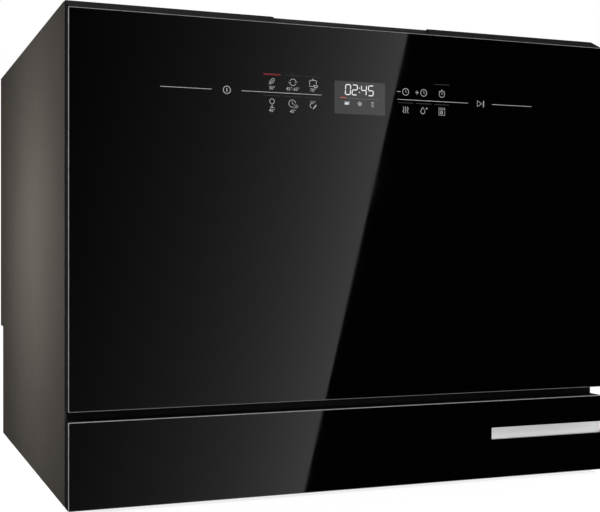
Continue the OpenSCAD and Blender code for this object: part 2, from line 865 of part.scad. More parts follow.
module door_frame() color(black) {
  z1 = z_glass - cap_foot;
  ring = 3;
  difference() {
    union() {
      difference() {
        block(-xs, xs, y_skin, y_door, z_door, z1);
        block(-xs + frame_t, xs - frame_t, y_skin + skin_t, y_door + eps,
          z_door + frame_t, z1 - frame_t);
      }
      difference() {
        block(-inner_x, inner_x, y_skin, y_door, inner_low, z1);
        block(-inner_x + ring, inner_x - ring, y_skin, y_door + eps,
          inner_low + ring, z1 + eps);
      }
      for (x = [-xs + 44, xs - 44 - frame_t])
        block(x, x + frame_t, y_skin, y_door, z_door, inner_low + ring);
      for (s = [-1, 1]) block(s > 0 ? inner_x : -xs, s > 0 ? xs : -inner_x, y_skin, y_door,
        z_door, z_door + 16);
      for (i = [1 : 3]) for (s = [-1, 1])
        block(s > 0 ? inner_x : -xs, s > 0 ? xs : -inner_x, y_skin, y_door,
          z_door + i * 80, z_door + i * 80 + frame_t);
    }
    for (s = [-1, 1]) {
      block(s > 0 ? slot_x : -slot_x - slot_t, s > 0 ? slot_x + slot_t : -slot_x,
        y_skin - eps, y_door + eps, z_door - eps, z_hinge + eye_r + 0.6);
      block(s > 0 ? spring_x - fit : -spring_x - spring_l - fit,
        s > 0 ? spring_x + spring_l + fit : -spring_x + fit,
        y_skin - eps, y_door + eps, z_door - eps, z_hinge + eye_r + 0.6);
      bar_x(s > 0 ? inner_x - 8 : -pin_x1 - fit, s > 0 ? pin_x1 + fit : -inner_x + 8, y_hinge,
        z_hinge, pin_r + run_fit);
    }
    block(-control_x, control_x, y_skin - eps, y_skin + skin_t + eps, control_low,
      control_high);
    along_x(-xs - eps, xs + eps) polygon([[y_door - foot_cut, z_door - eps],
      [y_door + eps, z_door - eps], [y_door + eps, z_door + foot_cut + eps]]);
  }
}

// Sloping cap with the grip recess behind its lip
module door_top_cap() color(black) {
  z0 = z_glass - cap_foot;
  g = grip_w / 2;
  difference() {
    along_x(-xs, xs) polygon([[yf, z_glass], [yf + cap_run, body_h], [y_door, body_h],
      [y_door, z0], [y_skin, z0], [y_skin, z_glass]]);
    along_y(yf + grip_lip, y_door + eps) polygon([[-g, body_h + eps], [g, body_h + eps],
      [g - grip_slope, body_h - grip_deep], [-g + grip_slope, body_h - grip_deep]]);
  }
}

// Door, inner part: a pressed stainless pan with the opening for the dispenser
disp_x = 6;
disp_gap = 27;
disp_z = control_low - disp_gap - disp_h;
disp_rim = 1.5;

module door_inner_panel() color(steel) {
  r = tub_r;
  difference() {
    along_y(y_door, y_inner) round_rect(-inner_x, inner_x, inner_low, inner_high, r);
    along_y(y_door - eps, y_inner - tub_t)
      round_rect(-inner_x + tub_t, inner_x - tub_t, inner_low + tub_t,
        inner_high - tub_t, r - tub_t);
    along_y(y_inner - 2 * tub_t, y_inner + eps)
      round_rect(disp_x - disp_w / 2, disp_x + disp_w / 2, disp_z, disp_z + disp_h, 10);
  }
}

module door_insulation() color(felt) {
  difference() {
    block(-inner_x + 12, inner_x - 12, y_skin + skin_t + 2, y_inner - tub_t,
      inner_low + 20, control_low - 12);
    block(disp_x - disp_w / 2 - 2, disp_x + disp_w / 2 + 2, yf, y_inner, disp_z - 2,
      disp_z + disp_h + 2);
  }
}

// Controls behind the glass: the display, the board and the springs of the touch keys
display_w = 52;
display_h = 31;
display_z = z_glass - 81;
key_z = z_glass - 65;
board_y = y_skin + 6;

module display_module() color(grey) {
  block(-display_w / 2, display_w / 2, y_skin, board_y, display_z, display_z + display_h);
}

module control_board() color(green) {
  block(-control_x + 3, control_x - 3, board_y, board_y + 1.6, control_low + 3,
    control_high - 3);
  for (x = [-160, -100, 70, 130])
    block(x, x + 24, board_y + 1.6, board_y + 6, control_low + 12, control_low + 26);
  for (s = [-1, 1])
    block(s > 0 ? control_x - 14 : -control_x + 4, s > 0 ? control_x - 4 : -control_x + 14,
      y_skin + skin_t, board_y, control_high - 10, control_high - 3);
}

key_x = [-132, -88.5, -68, -48, 48, 68, 88.5, 132];

module touch_springs() color(steel) {
  for (x = key_x) difference() {
    bar_y(y_skin, board_y, x, key_z, 5);
    bar_y(y_skin - eps, board_y + eps, x, key_z, 3.5);
  }
}

// Dispenser: a housing with the detergent cup, whose lid slides up in two grooves
cup_x0 = disp_x - disp_w / 2 + 10;
cup_z0 = disp_z + 12;
lid_y = y_inner - 1;
lid_t = 1.8;
cup_deep = 15;
rinse_x = disp_x + disp_w / 2 - 26;
rinse_z = disp_z + 52;

module dispenser_housing() color(grey) {
  w = disp_w / 2;
  difference() {
    union() {
      along_y(y_skin + skin_t + 3, y_inner)
        round_rect(disp_x - w + fit, disp_x + w - fit, disp_z + fit, disp_z + disp_h - fit, 9);
      along_y(y_inner, y_inner + disp_rim)
        round_rect(disp_x - w - 5, disp_x + w + 5, disp_z - 5, disp_z + disp_h + 5, 13);
    }
    block(cup_x0, cup_x0 + lid_w, lid_y - fit, y_inner + disp_rim + eps, cup_z0,
      cup_z0 + 2 * lid_l + 1);
    block(cup_x0 + 5, cup_x0 + lid_w - 5, lid_y - cup_deep, lid_y + eps, cup_z0 + 5,
      cup_z0 + lid_l - 5);
    bar_y(lid_y - 12, y_inner + disp_rim + eps, rinse_x, rinse_z, cap_r + fit);
  }
}

module detergent_lid() color(blue) {
  block(cup_x0 + fit, cup_x0 + lid_w - fit, lid_y, lid_y + lid_t, cup_z0 + fit,
    cup_z0 + lid_l);
  block(cup_x0 + 12, cup_x0 + lid_w - 12, lid_y + lid_t, lid_y + lid_t + 1, cup_z0 + 8,
    cup_z0 + 12);
}

module rinse_aid_cap() color(blue) {
  bar_y(lid_y - 8, y_inner + disp_rim, rinse_x, rinse_z, cap_r);
  block(rinse_x - cap_r + 4, rinse_x + cap_r - 4, y_inner + disp_rim,
    y_inner + disp_rim + 1.2, rinse_z - 2, rinse_z + 2);
}

// Rack: a welded basket of straight wires, raked at the front
rack_x = xi - rack_side;
rack_front = y_inner + rack_gap;
rack_foot = rack_front + rack_rake;
rack_back = y_back - 16;
rim_z = z_rack + rack_h;
low_z = z_rack - 1.8 * wire_r;
mid_z = z_rack + rack_h * 0.55;
rim_r = wire_r + 0.5;
across_n = floor((rack_back - rack_foot) / wire_pitch);
along_n = floor(2 * rack_x / wire_pitch);
across_y = [for (i = [0 : across_n]) rack_foot + i * (rack_back - rack_foot) / across_n];
along_xs = [for (i = [0 : along_n]) rack_x * (2 * i / along_n - 1)];

// Where the raked front stands at a height
function front_y(z) = rack_foot + (rack_front - rack_foot) * (z - z_rack) / rack_h;

module rack_ring(z, r) {
  y0 = front_y(z);
  wire([-rack_x - r / 2, y0, z], [rack_x + r / 2, y0, z], r);
  wire([-rack_x - r / 2, rack_back, z], [rack_x + r / 2, rack_back, z], r);
  for (s = [-1, 1]) wire([s * rack_x, y0 - r / 2, z], [s * rack_x, rack_back + r / 2, z], r);
}

module rack_frame() color(pale) {
  rack_ring(rim_z, rim_r);
  rack_ring(mid_z, wire_r);
  for (y = across_y) wire([-rack_x, y, low_z], [rack_x, y, low_z]);
  for (x = along_xs) {
    wire([x, rack_foot - wire_r, z_rack], [x, rack_back + wire_r, z_rack]);
    wire([x, front_y(z_rack), z_rack], [x, rack_front, rim_z]);
    wire([x, rack_back, z_rack], [x, rack_back, rim_z]);
  }
  for (y = across_y, s = [-1, 1]) if (y > rack_foot)
    wire([s * rack_x, y, low_z], [s * rack_x, y, rim_z]);
  for (i = [1 : tine_n])
    wire([along_xs[i], tine_y + tine_gap, z_rack],
      [along_xs[i], tine_y + tine_gap, z_rack + tine_h + 4]);
}

// Carriers clipped to the rack's sides, with the axles of the wheels
axle_r = 2.5;
wheel_y = [rail_front + rack_pull + wheel_r + 25.5, rack_back - wheel_r - 10];
wheel_x = xi - rail_t - 1.5 - wheel_w;
carrier_x = rack_x + wire_r;

module rack_carriers() color(grey) {
  for (y = wheel_y, s = [-1, 1]) {
    block(s > 0 ? carrier_x : -wheel_x + 1.5, s > 0 ? wheel_x - 1.5 : -carrier_x, y - 24,
      y + 24, z_wheel - 9, z_wheel + 9);
    bar_x(s > 0 ? wheel_x - 2 : -wheel_x - wheel_w - 0.5,
      s > 0 ? wheel_x + wheel_w + 0.5 : -wheel_x + 2, y, z_wheel, axle_r);
    bar_x(s > 0 ? wheel_x - 2 : -wheel_x + 0.4, s > 0 ? wheel_x - 0.4 : -wheel_x + 2, y,
      z_wheel, 5);
  }
}

module rack_wheel(s, y) color(pale) {
  x0 = s > 0 ? wheel_x : -wheel_x - wheel_w;
  difference() {
    bar_x(x0, x0 + wheel_w, y, z_wheel, wheel_r);
    bar_x(x0 - eps, x0 + wheel_w + eps, y, z_wheel, axle_r + run_fit);
    for (a = [0 : 60 : 300]) bar_x(x0 - eps, x0 + wheel_w + eps, y + 7 * cos(a),
      z_wheel + 7 * sin(a), 1.8);
  }
}

// Folding tines: a rod that lies on the base wires, with a row of tines welded to it
tine_y = rack_foot + tine_in;
tine_z = z_rack + 2 * wire_r + fit;
tine_n = 7;
tine_gap = 82;

module folding_tines() color(pale) {
  wire([along_xs[1] - 14, tine_y, tine_z], [along_xs[tine_n] + 14, tine_y, tine_z]);
  for (i = [1 : tine_n]) {
    x = along_xs[i] + wire_pitch / 4;
    wire([x, tine_y, tine_z], [x, tine_y, tine_z + tine_h]);
  }
}

// Cup shelf: a grid that hangs from a rod along the rack's right side and folds up
shelf_x = rack_x - 2 * wire_r - fit;
shelf_z = mid_z + 22;
shelf_y0 = rack_back - 30 - shelf_l;

module cup_shelf() color(pale) {
  y1 = shelf_y0 + shelf_l;
  wire([shelf_x, shelf_y0 - 8, shelf_z], [shelf_x, y1 + 8, shelf_z]);
  wire([shelf_x - shelf_w, shelf_y0, shelf_z], [shelf_x - shelf_w, y1, shelf_z]);
  wire([shelf_x - shelf_w / 2, shelf_y0, shelf_z], [shelf_x - shelf_w / 2, y1, shelf_z]);
  for (i = [0 : 5]) {
    y = shelf_y0 + i * shelf_l / 5;
    wire([shelf_x, y, shelf_z], [shelf_x - shelf_w, y, shelf_z]);
  }
}

// Cutlery basket: two rows of three cells with slotted walls and a bow handle
basket_x = along_xs[1];
basket_y = rack_foot + wire_r + 6;
basket_z = z_rack + wire_r + fit;
cells = [3, 2];

module cutlery_basket() color(grey) {
  cw = (basket_l - (cells[0] + 1) * basket_t) / cells[0];
  cd = (basket_w - (cells[1] + 1) * basket_t) / cells[1];
  translate([basket_x, basket_y, basket_z]) {
    difference() {
      cube([basket_l, basket_w, basket_h]);
      for (i = [0 : cells[0] - 1], j = [0 : cells[1] - 1])
        translate([basket_t + i * (cw + basket_t), basket_t + j * (cd + basket_t), basket_t])
          cube([cw, cd, basket_h]);
      for (i = [0 : 11], k = [0 : 2])
        translate([8 + i * (basket_l - 16) / 11 - 2, -eps, 16 + k * 28])
          cube([4, basket_t + 2 * eps, 20]);
      for (i = [0 : 11], k = [0 : 2])
        translate([8 + i * (basket_l - 16) / 11 - 2, basket_w - basket_t - eps, 16 + k * 28])
          cube([4, basket_t + 2 * eps, 20]);
    }
    translate([0, basket_w / 2 - 4, basket_h - 10]) {
      for (x = [0, basket_l - 8]) translate([x, 0, 0]) cube([8, 8, 34]);
      translate([0, 0, 28]) cube([basket_l, 8, 8]);
    }
  }
}

base_tray();
mirror([1, 0, 0]) side_sheet();  // left_side_panel
side_sheet();  // right_side_panel
worktop();
rear_cover_upper();
rear_cover_lower();
plinth_glass();
plinth_carrier();
trim_strip();
front_crossmember();
tub();
tub_insulation();
door_gasket();
mirror([1, 0, 0]) rail();  // left_rail
rail();  // right_rail
sump();
filter_plate();
spray_feed();
circulation_pump();
drain_pump();
drain_outlet();
water_softener();
inlet_valve();
water_pocket();
power_module();
mains_gland();
mirror([1, 0, 0]) hinge_bracket();  // left_hinge_bracket
hinge_bracket();  // right_hinge_bracket
hinge_pins();
hinge_springs();
door_lock();
cover_screws();
door_glass();
door_frame();
door_top_cap();
door_inner_panel();
door_insulation();
control_board();
display_module();
touch_springs();
dispenser_housing();
latch_striker();
detergent_lid();
rinse_aid_cap();
rack_frame();
rack_carriers();
rack_wheel(-1, wheel_y[0]);  // wheel_front_left
rack_wheel(1, wheel_y[0]);  // wheel_front_right
rack_wheel(-1, wheel_y[1]);  // wheel_rear_left
rack_wheel(1, wheel_y[1]);  // wheel_rear_right
cup_shelf();
folding_tines();
cutlery_basket();
spray_arm();
filter_cylinder();
salt_cap();
foot(-foot_x, foot_y[0]);  // foot_front_left
foot(foot_x, foot_y[0]);  // foot_front_right
foot(-foot_x, foot_y[1]);  // foot_rear_left
foot(foot_x, foot_y[1]);  // foot_rear_right
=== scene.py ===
import json
import math

import bmesh
import bpy
import numpy as np
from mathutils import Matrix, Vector


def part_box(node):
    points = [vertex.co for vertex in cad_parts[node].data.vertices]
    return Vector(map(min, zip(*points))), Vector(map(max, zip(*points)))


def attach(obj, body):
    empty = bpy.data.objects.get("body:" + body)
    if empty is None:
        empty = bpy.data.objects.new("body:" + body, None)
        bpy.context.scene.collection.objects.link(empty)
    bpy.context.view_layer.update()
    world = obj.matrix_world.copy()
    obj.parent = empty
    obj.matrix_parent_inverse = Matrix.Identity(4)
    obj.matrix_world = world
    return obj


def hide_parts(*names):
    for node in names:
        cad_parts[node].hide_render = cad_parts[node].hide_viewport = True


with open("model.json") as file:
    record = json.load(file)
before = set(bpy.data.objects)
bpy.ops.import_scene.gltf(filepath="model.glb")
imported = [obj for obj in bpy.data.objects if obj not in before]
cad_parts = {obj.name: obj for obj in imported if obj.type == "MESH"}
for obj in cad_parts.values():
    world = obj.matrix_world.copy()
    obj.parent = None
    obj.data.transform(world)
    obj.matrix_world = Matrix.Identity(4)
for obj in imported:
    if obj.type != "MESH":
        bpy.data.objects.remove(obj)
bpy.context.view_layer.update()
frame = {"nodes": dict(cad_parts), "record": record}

# Countertop dishwasher: pieces, finishes, light and camera round the fixed frame. X runs to the
# right, Y to the back, Z up. Shapes are in millimetres until put makes a piece of them.

scene = bpy.context.scene
MM = 0.001
TAU = 2 * math.pi
X, Y, Z = 0, 1, 2


# Shapes

class Shape:
    """Points, the quads between them, and the flat faces that close what the quads leave open."""

    def __init__(self, points, quads, flats=()):
        self.points, self.quads, self.flats = points, quads, list(flats)

    def at(self, points):
        """The same faces between other points."""
        return Shape(points, self.quads, self.flats)


def full_turn(sides):
    """The angles of a full turn, evenly spread."""
    return TAU * np.arange(sides) / sides


def skin(rings, loop=False):
    """A surface over closed rings of points: each quad joins two neighbours on a ring to the two
    beside them on the next. In a loop the last ring meets the first; otherwise both ends close flat."""
    rings = np.asarray(rings, float)
    count, sides = rings.shape[:2]
    row = np.arange(count if loop else count - 1)[:, None]
    column = np.arange(sides)[None, :]
    beside, below = (column + 1) % sides, (row + 1) % count
    quads = np.stack([row * sides + column, row * sides + beside,
                      below * sides + beside, below * sides + column], -1).reshape(-1, 4)
    ends = [] if loop else [np.arange(sides), np.arange(sides) + (count - 1) * sides]
    return Shape(rings.reshape(-1, 3), quads, ends)


def lift(flat, depth, axis):
    """Flat points as points in space, all at one depth along an axis."""
    flat = np.asarray(flat, float)
    out = np.empty((len(flat), 3))
    out[:, axis] = depth
    out[:, [i for i in (X, Y, Z) if i != axis]] = flat
    return out


def rounded(a0, a1, b0, b1, radius, steps=6):
    """A rectangle with its corners drawn as quarter circles: four arcs, one after the other."""
    radius = max(radius, 0.02)
    turn = np.linspace(0, math.pi / 2, steps)
    arcs = [(a1 - radius, b1 - radius, 0), (a0 + radius, b1 - radius, 1),
            (a0 + radius, b0 + radius, 2), (a1 - radius, b0 + radius, 3)]
    return np.concatenate([np.stack([a + radius * np.cos(turn + k * math.pi / 2),
                                     b + radius * np.sin(turn + k * math.pi / 2)], -1)
                           for a, b, k in arcs])


def slab(a0, a1, b0, b1, low, high, axis, radius=0.0, edge=0.3, steps=3, corner=6):
    """A plate with a rounded outline and rolled rims: at angle t from 0 to a quarter turn the
    outline lies edge (1 - sin t) inside the full one, at a depth of edge (1 - cos t)."""
    t = np.linspace(0, math.pi / 2, steps)
    inset = edge * (1 - np.sin(t))
    depth = edge * (1 - np.cos(t))
    near = [(i, low + d) for i, d in zip(inset, depth)]
    far = [(i, high - d) for i, d in zip(inset[::-1], depth[::-1])]
    return skin([lift(rounded(a0 + i, a1 - i, b0 + i, b1 - i, radius - i, corner), d, axis)
                 for i, d in near + far])


def spun(profile, axis, centre, sides=48, loop=False):
    """A profile of radius and height turned round an axis: at angle a a point lies r cos a and
    r sin a off the axis. A looped profile is a closed section, such as a ring's."""
    profile = np.asarray(profile, float)
    a = full_turn(sides)
    off = [i for i in (X, Y, Z) if i != axis]
    out = np.zeros((len(profile), sides, 3))
    out[..., axis] = profile[:, 1:]
    out[..., off[0]] = profile[:, :1] * np.cos(a)
    out[..., off[1]] = profile[:, :1] * np.sin(a)
    return skin(out + np.asarray(centre, float), loop=loop)


def bent(corners, bend, steps=6, closed=False):
    """A line through corners, each rounded by the curve (1-t)^2 A + 2t(1-t) P + t^2 B, where A and B
    lie one bend before and after the corner P."""
    p = np.asarray(corners, float)

    def toward(q):
        way = q - p
        length = np.linalg.norm(way, axis=1, keepdims=True)
        return p + way / np.maximum(length, 1e-9) * np.minimum(bend, 0.49 * length)

    a, b = toward(np.roll(p, 1, 0)), toward(np.roll(p, -1, 0))
    t = np.linspace(0, 1, steps)[None, :, None]
    curve = (1 - t) ** 2 * a[:, None] + 2 * t * (1 - t) * p[:, None] + t ** 2 * b[:, None]
    if closed:
        return curve.reshape(-1, 3)
    return np.concatenate([p[:1], curve[1:-1].reshape(-1, 3), p[-1:]])


def directions(path, closed):
    """The unit direction of a path at each of its points, from the points on either side."""
    way = np.roll(path, -1, 0) - np.roll(path, 1, 0) if closed else np.gradient(path, axis=0)
    return way / np.linalg.norm(way, axis=1, keepdims=True)


def tube(path, radius, sides=8, closed=False):
    """A round bar along a path: circles square to its direction, one side of each turned to the
    axis that the path follows least. An open bar has ends rounded like half a ball."""
    path = np.asarray(path, float)
    ahead = directions(path, closed)
    size = np.ones(len(path))
    if not closed:
        lean = np.radians([80.0, 45.0])
        out, thin = radius * np.sin(lean)[:, None], np.cos(lean)
        path = np.concatenate([path[:1] - ahead[:1] * out, path, path[-1:] + ahead[-1:] * out[::-1]])
        ahead = np.concatenate([ahead[[0, 0]], ahead, ahead[[-1, -1]]])
        size = np.concatenate([thin, size, thin[::-1]])
    up = np.eye(3)[np.argmin(np.abs(ahead).max(0))]
    side = np.cross(ahead, up)
    side /= np.linalg.norm(side, axis=1, keepdims=True)
    other = np.cross(side, ahead)
    a = full_turn(sides)[None, :, None]
    ring = np.cos(a) * side[:, None] + np.sin(a) * other[:, None]
    return skin(path[:, None] + radius * size[:, None, None] * ring, loop=closed)


def bead(path, normal, width, height, closed=True, sides=7, sunk=0.3):
    """A pressed rib along a path on a sheet: its section is half an ellipse that stands height
    proud along the normal, closed by a flat foot a little under the sheet."""
    path = np.asarray(path, float)
    normal = np.asarray(normal, float)
    across = np.cross(directions(path, closed), normal)
    t = np.linspace(0, math.pi, sides)
    off = np.concatenate([[width / 2], width / 2 * np.cos(t), [-width / 2]])
    rise = np.concatenate([[-sunk], height * np.sin(t), [-sunk]])
    ring = off[None, :, None] * across[:, None] + rise[None, :, None] * normal
    return skin(path[:, None] + ring, loop=closed)


def put(name, shapes, body, slot, replaces=(), sharp=35.0, finishes=()):
    """One piece from a list of shapes, with its faces turned outwards and its edges kept where
    they bend by more than the sharp angle. It rides on a body, and has its slot's finish unless
    given others."""
    starts = np.cumsum([0] + [len(s.points) for s in shapes])
    points = np.concatenate([s.points for s in shapes]) * MM
    quads = np.concatenate([s.quads + n for s, n in zip(shapes, starts)])
    flats = [(f + n).tolist() for s, n in zip(shapes, starts) for f in s.flats]
    mesh = bpy.data.meshes.new(name)
    mesh.from_pydata(points.tolist(), [], quads.tolist() + flats)
    net = bmesh.new()
    net.from_mesh(mesh)
    bmesh.ops.recalc_face_normals(net, faces=net.faces)
    net.to_mesh(mesh)
    net.free()
    mesh.polygons.foreach_set("use_smooth", np.ones(len(mesh.polygons), bool))
    mesh.set_sharp_from_angle(angle=math.radians(sharp))
    for finish in finishes or (FINISHES[slot],):
        mesh.materials.append(finish.material)
    piece = bpy.data.objects.new(name, mesh)
    scene.collection.objects.link(piece)
    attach(piece, body)
    if replaces:
        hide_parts(*replaces)
    return mesh


def span(node):
    """The box of a node of the frame in millimetres, as low and high along X, Y and Z."""
    low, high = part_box(node)
    return [v / MM for v in (low.x, high.x, low.y, high.y, low.z, high.z)]


# Finishes

class Graph:
    """Nodes of a world or a material, made in one line each."""

    def __init__(self, tree):
        self.nodes, self.links = tree.nodes, tree.links

    def feed(self, socket, value):
        """Links an input to another node's output, or sets it to a value."""
        if isinstance(value, bpy.types.NodeSocket):
            self.links.new(value, socket)
        else:
            socket.default_value = value

    def add(self, kind, feeds, **settings):
        """A node of a kind, with its settings made and its inputs fed. Gives its outputs."""
        node = self.nodes.new("ShaderNode" + kind)
        for key, value in settings.items():
            setattr(node, key, value)
        for key, value in feeds.items():
            self.feed(node.inputs[key], value)
        return node.outputs

    def math(self, operation, *values):
        """A sum, a difference or the like, of numbers or outputs."""
        return self.add("Math", dict(enumerate(values)), operation=operation)[0]

    def product(self, *values):
        """Numbers or outputs multiplied together."""
        total = values[0]
        for value in values[1:]:
            total = self.math("MULTIPLY", total, value)
        return total

    def step(self, value, low, high):
        """A smooth step from 0 at low to 1 at high."""
        feeds = {"Value": value, "From Min": low, "From Max": high}
        return self.add("MapRange", feeds, interpolation_type="SMOOTHSTEP")["Result"]

    def fall(self, value, low, high):
        """A smooth step from 1 at low to 0 at high."""
        return self.math("SUBTRACT", 1.0, self.step(value, low, high))


class Finish(Graph):
    """A Principled material whose patterns are worked out on the piece's own coordinates. The
    tint, the gloss and the relief each take their own value first, and then what pattern takes."""

    def __init__(self, name, colour, roughness, **sockets):
        self.material = bpy.data.materials.new(name)
        self.material.use_nodes = True
        super().__init__(self.material.node_tree)
        self.colour = self.material.diffuse_color = (*colour, 1)
        self.shader = self.nodes["Principled BSDF"].inputs
        for socket, value in dict(sockets, Base_Color=self.colour, Roughness=roughness).items():
            self.feed(self.shader[socket.replace("_", " ")], value)
        self.place = self.add("TexCoord", {})["Object"]

    def pattern(self, size, stretch=(1, 1, 1), detail=2.0, cells=False):
        """Noise, or cells, with features about size wide, in metres, and longer along the
        stretched axes."""
        feeds = {"Vector": self.place, "Scale": [1 / (size * s) for s in stretch]}
        where = self.add("Mapping", feeds)[0]
        kind, result = ("TexVoronoi", "Distance") if cells else ("TexNoise", "Fac")
        return self.add(kind, {"Scale": 1.0, "Detail": detail, "Vector": where})[result]

    def spread(self, low, high, start, end, grain, kinds):
        """A pattern whose values from start to end are spread from low to high."""
        feeds = {"Value": self.pattern(*grain, **kinds), "From Min": start, "From Max": end,
                 "To Min": low, "To Max": high}
        return self.add("MapRange", feeds)["Result"]

    def tint(self, other, *grain, start=0.3, end=0.7, **kinds):
        """The colour shades into another one where a pattern is high."""
        factor, first, second, mixed = 0, 6, 7, 2
        share = self.spread(0, 1, start, end, grain, kinds)
        feeds = {factor: share, first: self.colour, second: (*other, 1)}
        self.feed(self.shader["Base Color"], self.add("Mix", feeds, data_type="RGBA")[mixed])
        return self

    def gloss(self, limits, *grain, **kinds):
        """The roughness wanders between two limits with a pattern."""
        start, end = 0.3, 0.7
        self.feed(self.shader["Roughness"], self.spread(*limits, start, end, grain, kinds))
        return self

    def relief(self, height, *grain, **kinds):
        """A pattern stands proud by up to a height in millimetres."""
        feeds = {"Distance": height * MM, "Height": self.pattern(*grain, **kinds)}
        self.feed(self.shader["Normal"], self.add("Bump", feeds)["Normal"])
        return self


def black_plastic():
    """Moulded black plastic: an eroded grain and a faint grey bloom."""
    f = Finish("black_plastic", (0.006, 0.006, 0.0065), 0.30, Specular_IOR_Level=0.2)
    f.tint((0.010, 0.010, 0.011), 0.03)
    f.gloss((0.27, 0.33), 0.006, detail=4)
    return f.relief(0.005, 0.0007, detail=3)


def brown_steel():
    """Satin brown-grey enamel on steel sheet: a fine orange peel and a slow change of shade."""
    f = Finish("brown_steel", (0.061, 0.0535, 0.0465), 0.33, Specular_IOR_Level=0.12)
    f.tint((0.066, 0.058, 0.0505), 0.12, detail=3)
    f.gloss((0.32, 0.36), 0.03, detail=4)
    return f.relief(0.001, 0.0011, detail=2)


def zinc_steel():
    """Zinc-plated sheet: grey spangles and the marks of the roller."""
    f = Finish("zinc_steel", (0.34, 0.345, 0.35), 0.36, Metallic=0.6)
    f.tint((0.47, 0.475, 0.48), 0.007, detail=1, cells=True, start=0.1, end=0.8)
    f.gloss((0.28, 0.48), 0.012, (6, 1, 1))
    return f.relief(0.006, 0.001, (12, 1, 1))


def black_glass():
    """Black glass, polished flat: deep, with a trace of dust that dulls it a little."""
    f = Finish("black_glass", (0.0008, 0.0008, 0.0009), 0.02, IOR=1.5)
    f.tint((0.0012, 0.0012, 0.0013), 0.09, detail=5)
    return f.gloss((0.012, 0.03), 0.05, detail=5)


def ground_edge():
    """The ground arris round a sheet of glass: frosted, with the marks of the wheel."""
    f = Finish("ground_edge", (0.34, 0.34, 0.345), 0.5)
    f.tint((0.44, 0.44, 0.44), 0.004, detail=4)
    return f.relief(0.01, 0.0004, (8, 1, 8))


def bright_metal():
    """Bright metal under a satin lacquer, its hairlines running along the strip."""
    f = Finish("bright_metal", (0.96, 0.96, 0.96), 0.5, Metallic=0.9)
    f.tint((0.99, 0.99, 0.99), 0.0005, (160, 1, 1), 3)
    f.gloss((0.52, 0.56), 0.0004, (200, 1, 1), 3)
    return f.relief(0.0001, 0.0003, (240, 1, 1), 2)


def stainless():
    """Satin stainless sheet: fine hairlines along X and a soft cloudiness."""
    f = Finish("stainless", (0.66, 0.66, 0.655), 0.3, Metallic=0.86)
    f.tint((0.75, 0.75, 0.745), 0.0006, (90, 1, 1), 3)
    f.gloss((0.29, 0.34), 0.03, detail=4)
    return f.relief(0.003, 0.0005, (120, 1, 1), 2)


def felt():
    """Pressed felt: matted fibres, dark and uneven."""
    f = Finish("felt", (0.030, 0.029, 0.027), 0.95, Specular_IOR_Level=0.2)
    f.tint((0.085, 0.082, 0.076), 0.0016, detail=6)
    return f.relief(0.5, 0.0012, detail=6)


def seal_rubber():
    """Matt seal rubber: dusty black with a slightly open grain."""
    f = Finish("seal_rubber", (0.016, 0.016, 0.017), 0.72, Specular_IOR_Level=0.35)
    f.tint((0.032, 0.032, 0.033), 0.01, detail=5)
    return f.relief(0.02, 0.0005, detail=3)


def grey_plastic():
    """Grey moulded polypropylene: waxy, with a fine spark-eroded grain."""
    f = Finish("grey_plastic", (0.235, 0.245, 0.255), 0.42)
    f.tint((0.275, 0.285, 0.295), 0.02, detail=4)
    f.gloss((0.36, 0.5), 0.004, detail=3)
    return f.relief(0.012, 0.0006, detail=2)


def pump_metal():
    """Dark coated pump housing: a rough cast skin under the coat."""
    f = Finish("pump_metal", (0.10, 0.10, 0.105), 0.5, Metallic=0.4)
    f.tint((0.16, 0.16, 0.165), 0.008, detail=4)
    return f.relief(0.05, 0.0014, detail=4)


def white_plastic():
    """White moulded polypropylene, slightly yellow in the shade, with a fine grain."""
    f = Finish("white_plastic", (0.62, 0.62, 0.60), 0.4)
    f.tint((0.70, 0.70, 0.685), 0.03, detail=4)
    f.gloss((0.34, 0.48), 0.005, detail=3)
    return f.relief(0.01, 0.0006, detail=2)


def board_green():
    """A printed circuit board: green lacquer over a mesh of tracks."""
    f = Finish("board_green", (0.015, 0.09, 0.03), 0.35)
    f.tint((0.05, 0.17, 0.06), 0.004, (3, 1, 1), 1, True, start=0.25, end=0.35)
    return f.relief(0.03, 0.004, (3, 1, 1), 1, True)


def display_window():
    """The smoked window of the display, evenly lit from behind."""
    f = Finish("display_window", (0.030, 0.030, 0.031), 0.03, IOR=1.5,
               Emission_Color=(0.9, 0.9, 0.92, 1), Emission_Strength=0.022)
    f.tint((0.034, 0.034, 0.035), 0.01, detail=3)
    return f.gloss((0.02, 0.05), 0.03, detail=3)


def lit(name, colour, strength):
    """A lit segment: an even glow with the light's own faint grain."""
    f = Finish(name, tuple(0.6 * c for c in colour), 0.4,
               Emission_Color=(*colour, 1), Emission_Strength=strength)
    return f.gloss((0.35, 0.5), 0.002)


def printed(name, shade):
    """Ceramic print fired into the glass: an even grey, slightly broken by its grain."""
    f = Finish(name, (shade, shade, shade), 0.4)
    f.tint((0.82 * shade, 0.82 * shade, 0.82 * shade), 0.0006, detail=3)
    return f.relief(0.004, 0.0004, detail=2)


def blue_plastic():
    """Glossy blue-grey plastic of the detergent lid and the rinse aid cap."""
    f = Finish("blue_plastic", (0.065, 0.12, 0.20), 0.25, Coat_Weight=0.15)
    f.tint((0.08, 0.14, 0.225), 0.02, detail=4)
    f.gloss((0.2, 0.32), 0.006, detail=3)
    return f.relief(0.006, 0.0012, detail=2)


def rack_coating():
    """Nylon on wire: a thick grey coat that has flowed a little before it set."""
    f = Finish("rack_coating", (0.33, 0.335, 0.34), 0.34)
    f.tint((0.39, 0.395, 0.40), 0.012, detail=3)
    f.gloss((0.28, 0.42), 0.004, detail=3)
    return f.relief(0.05, 0.0025, detail=2)


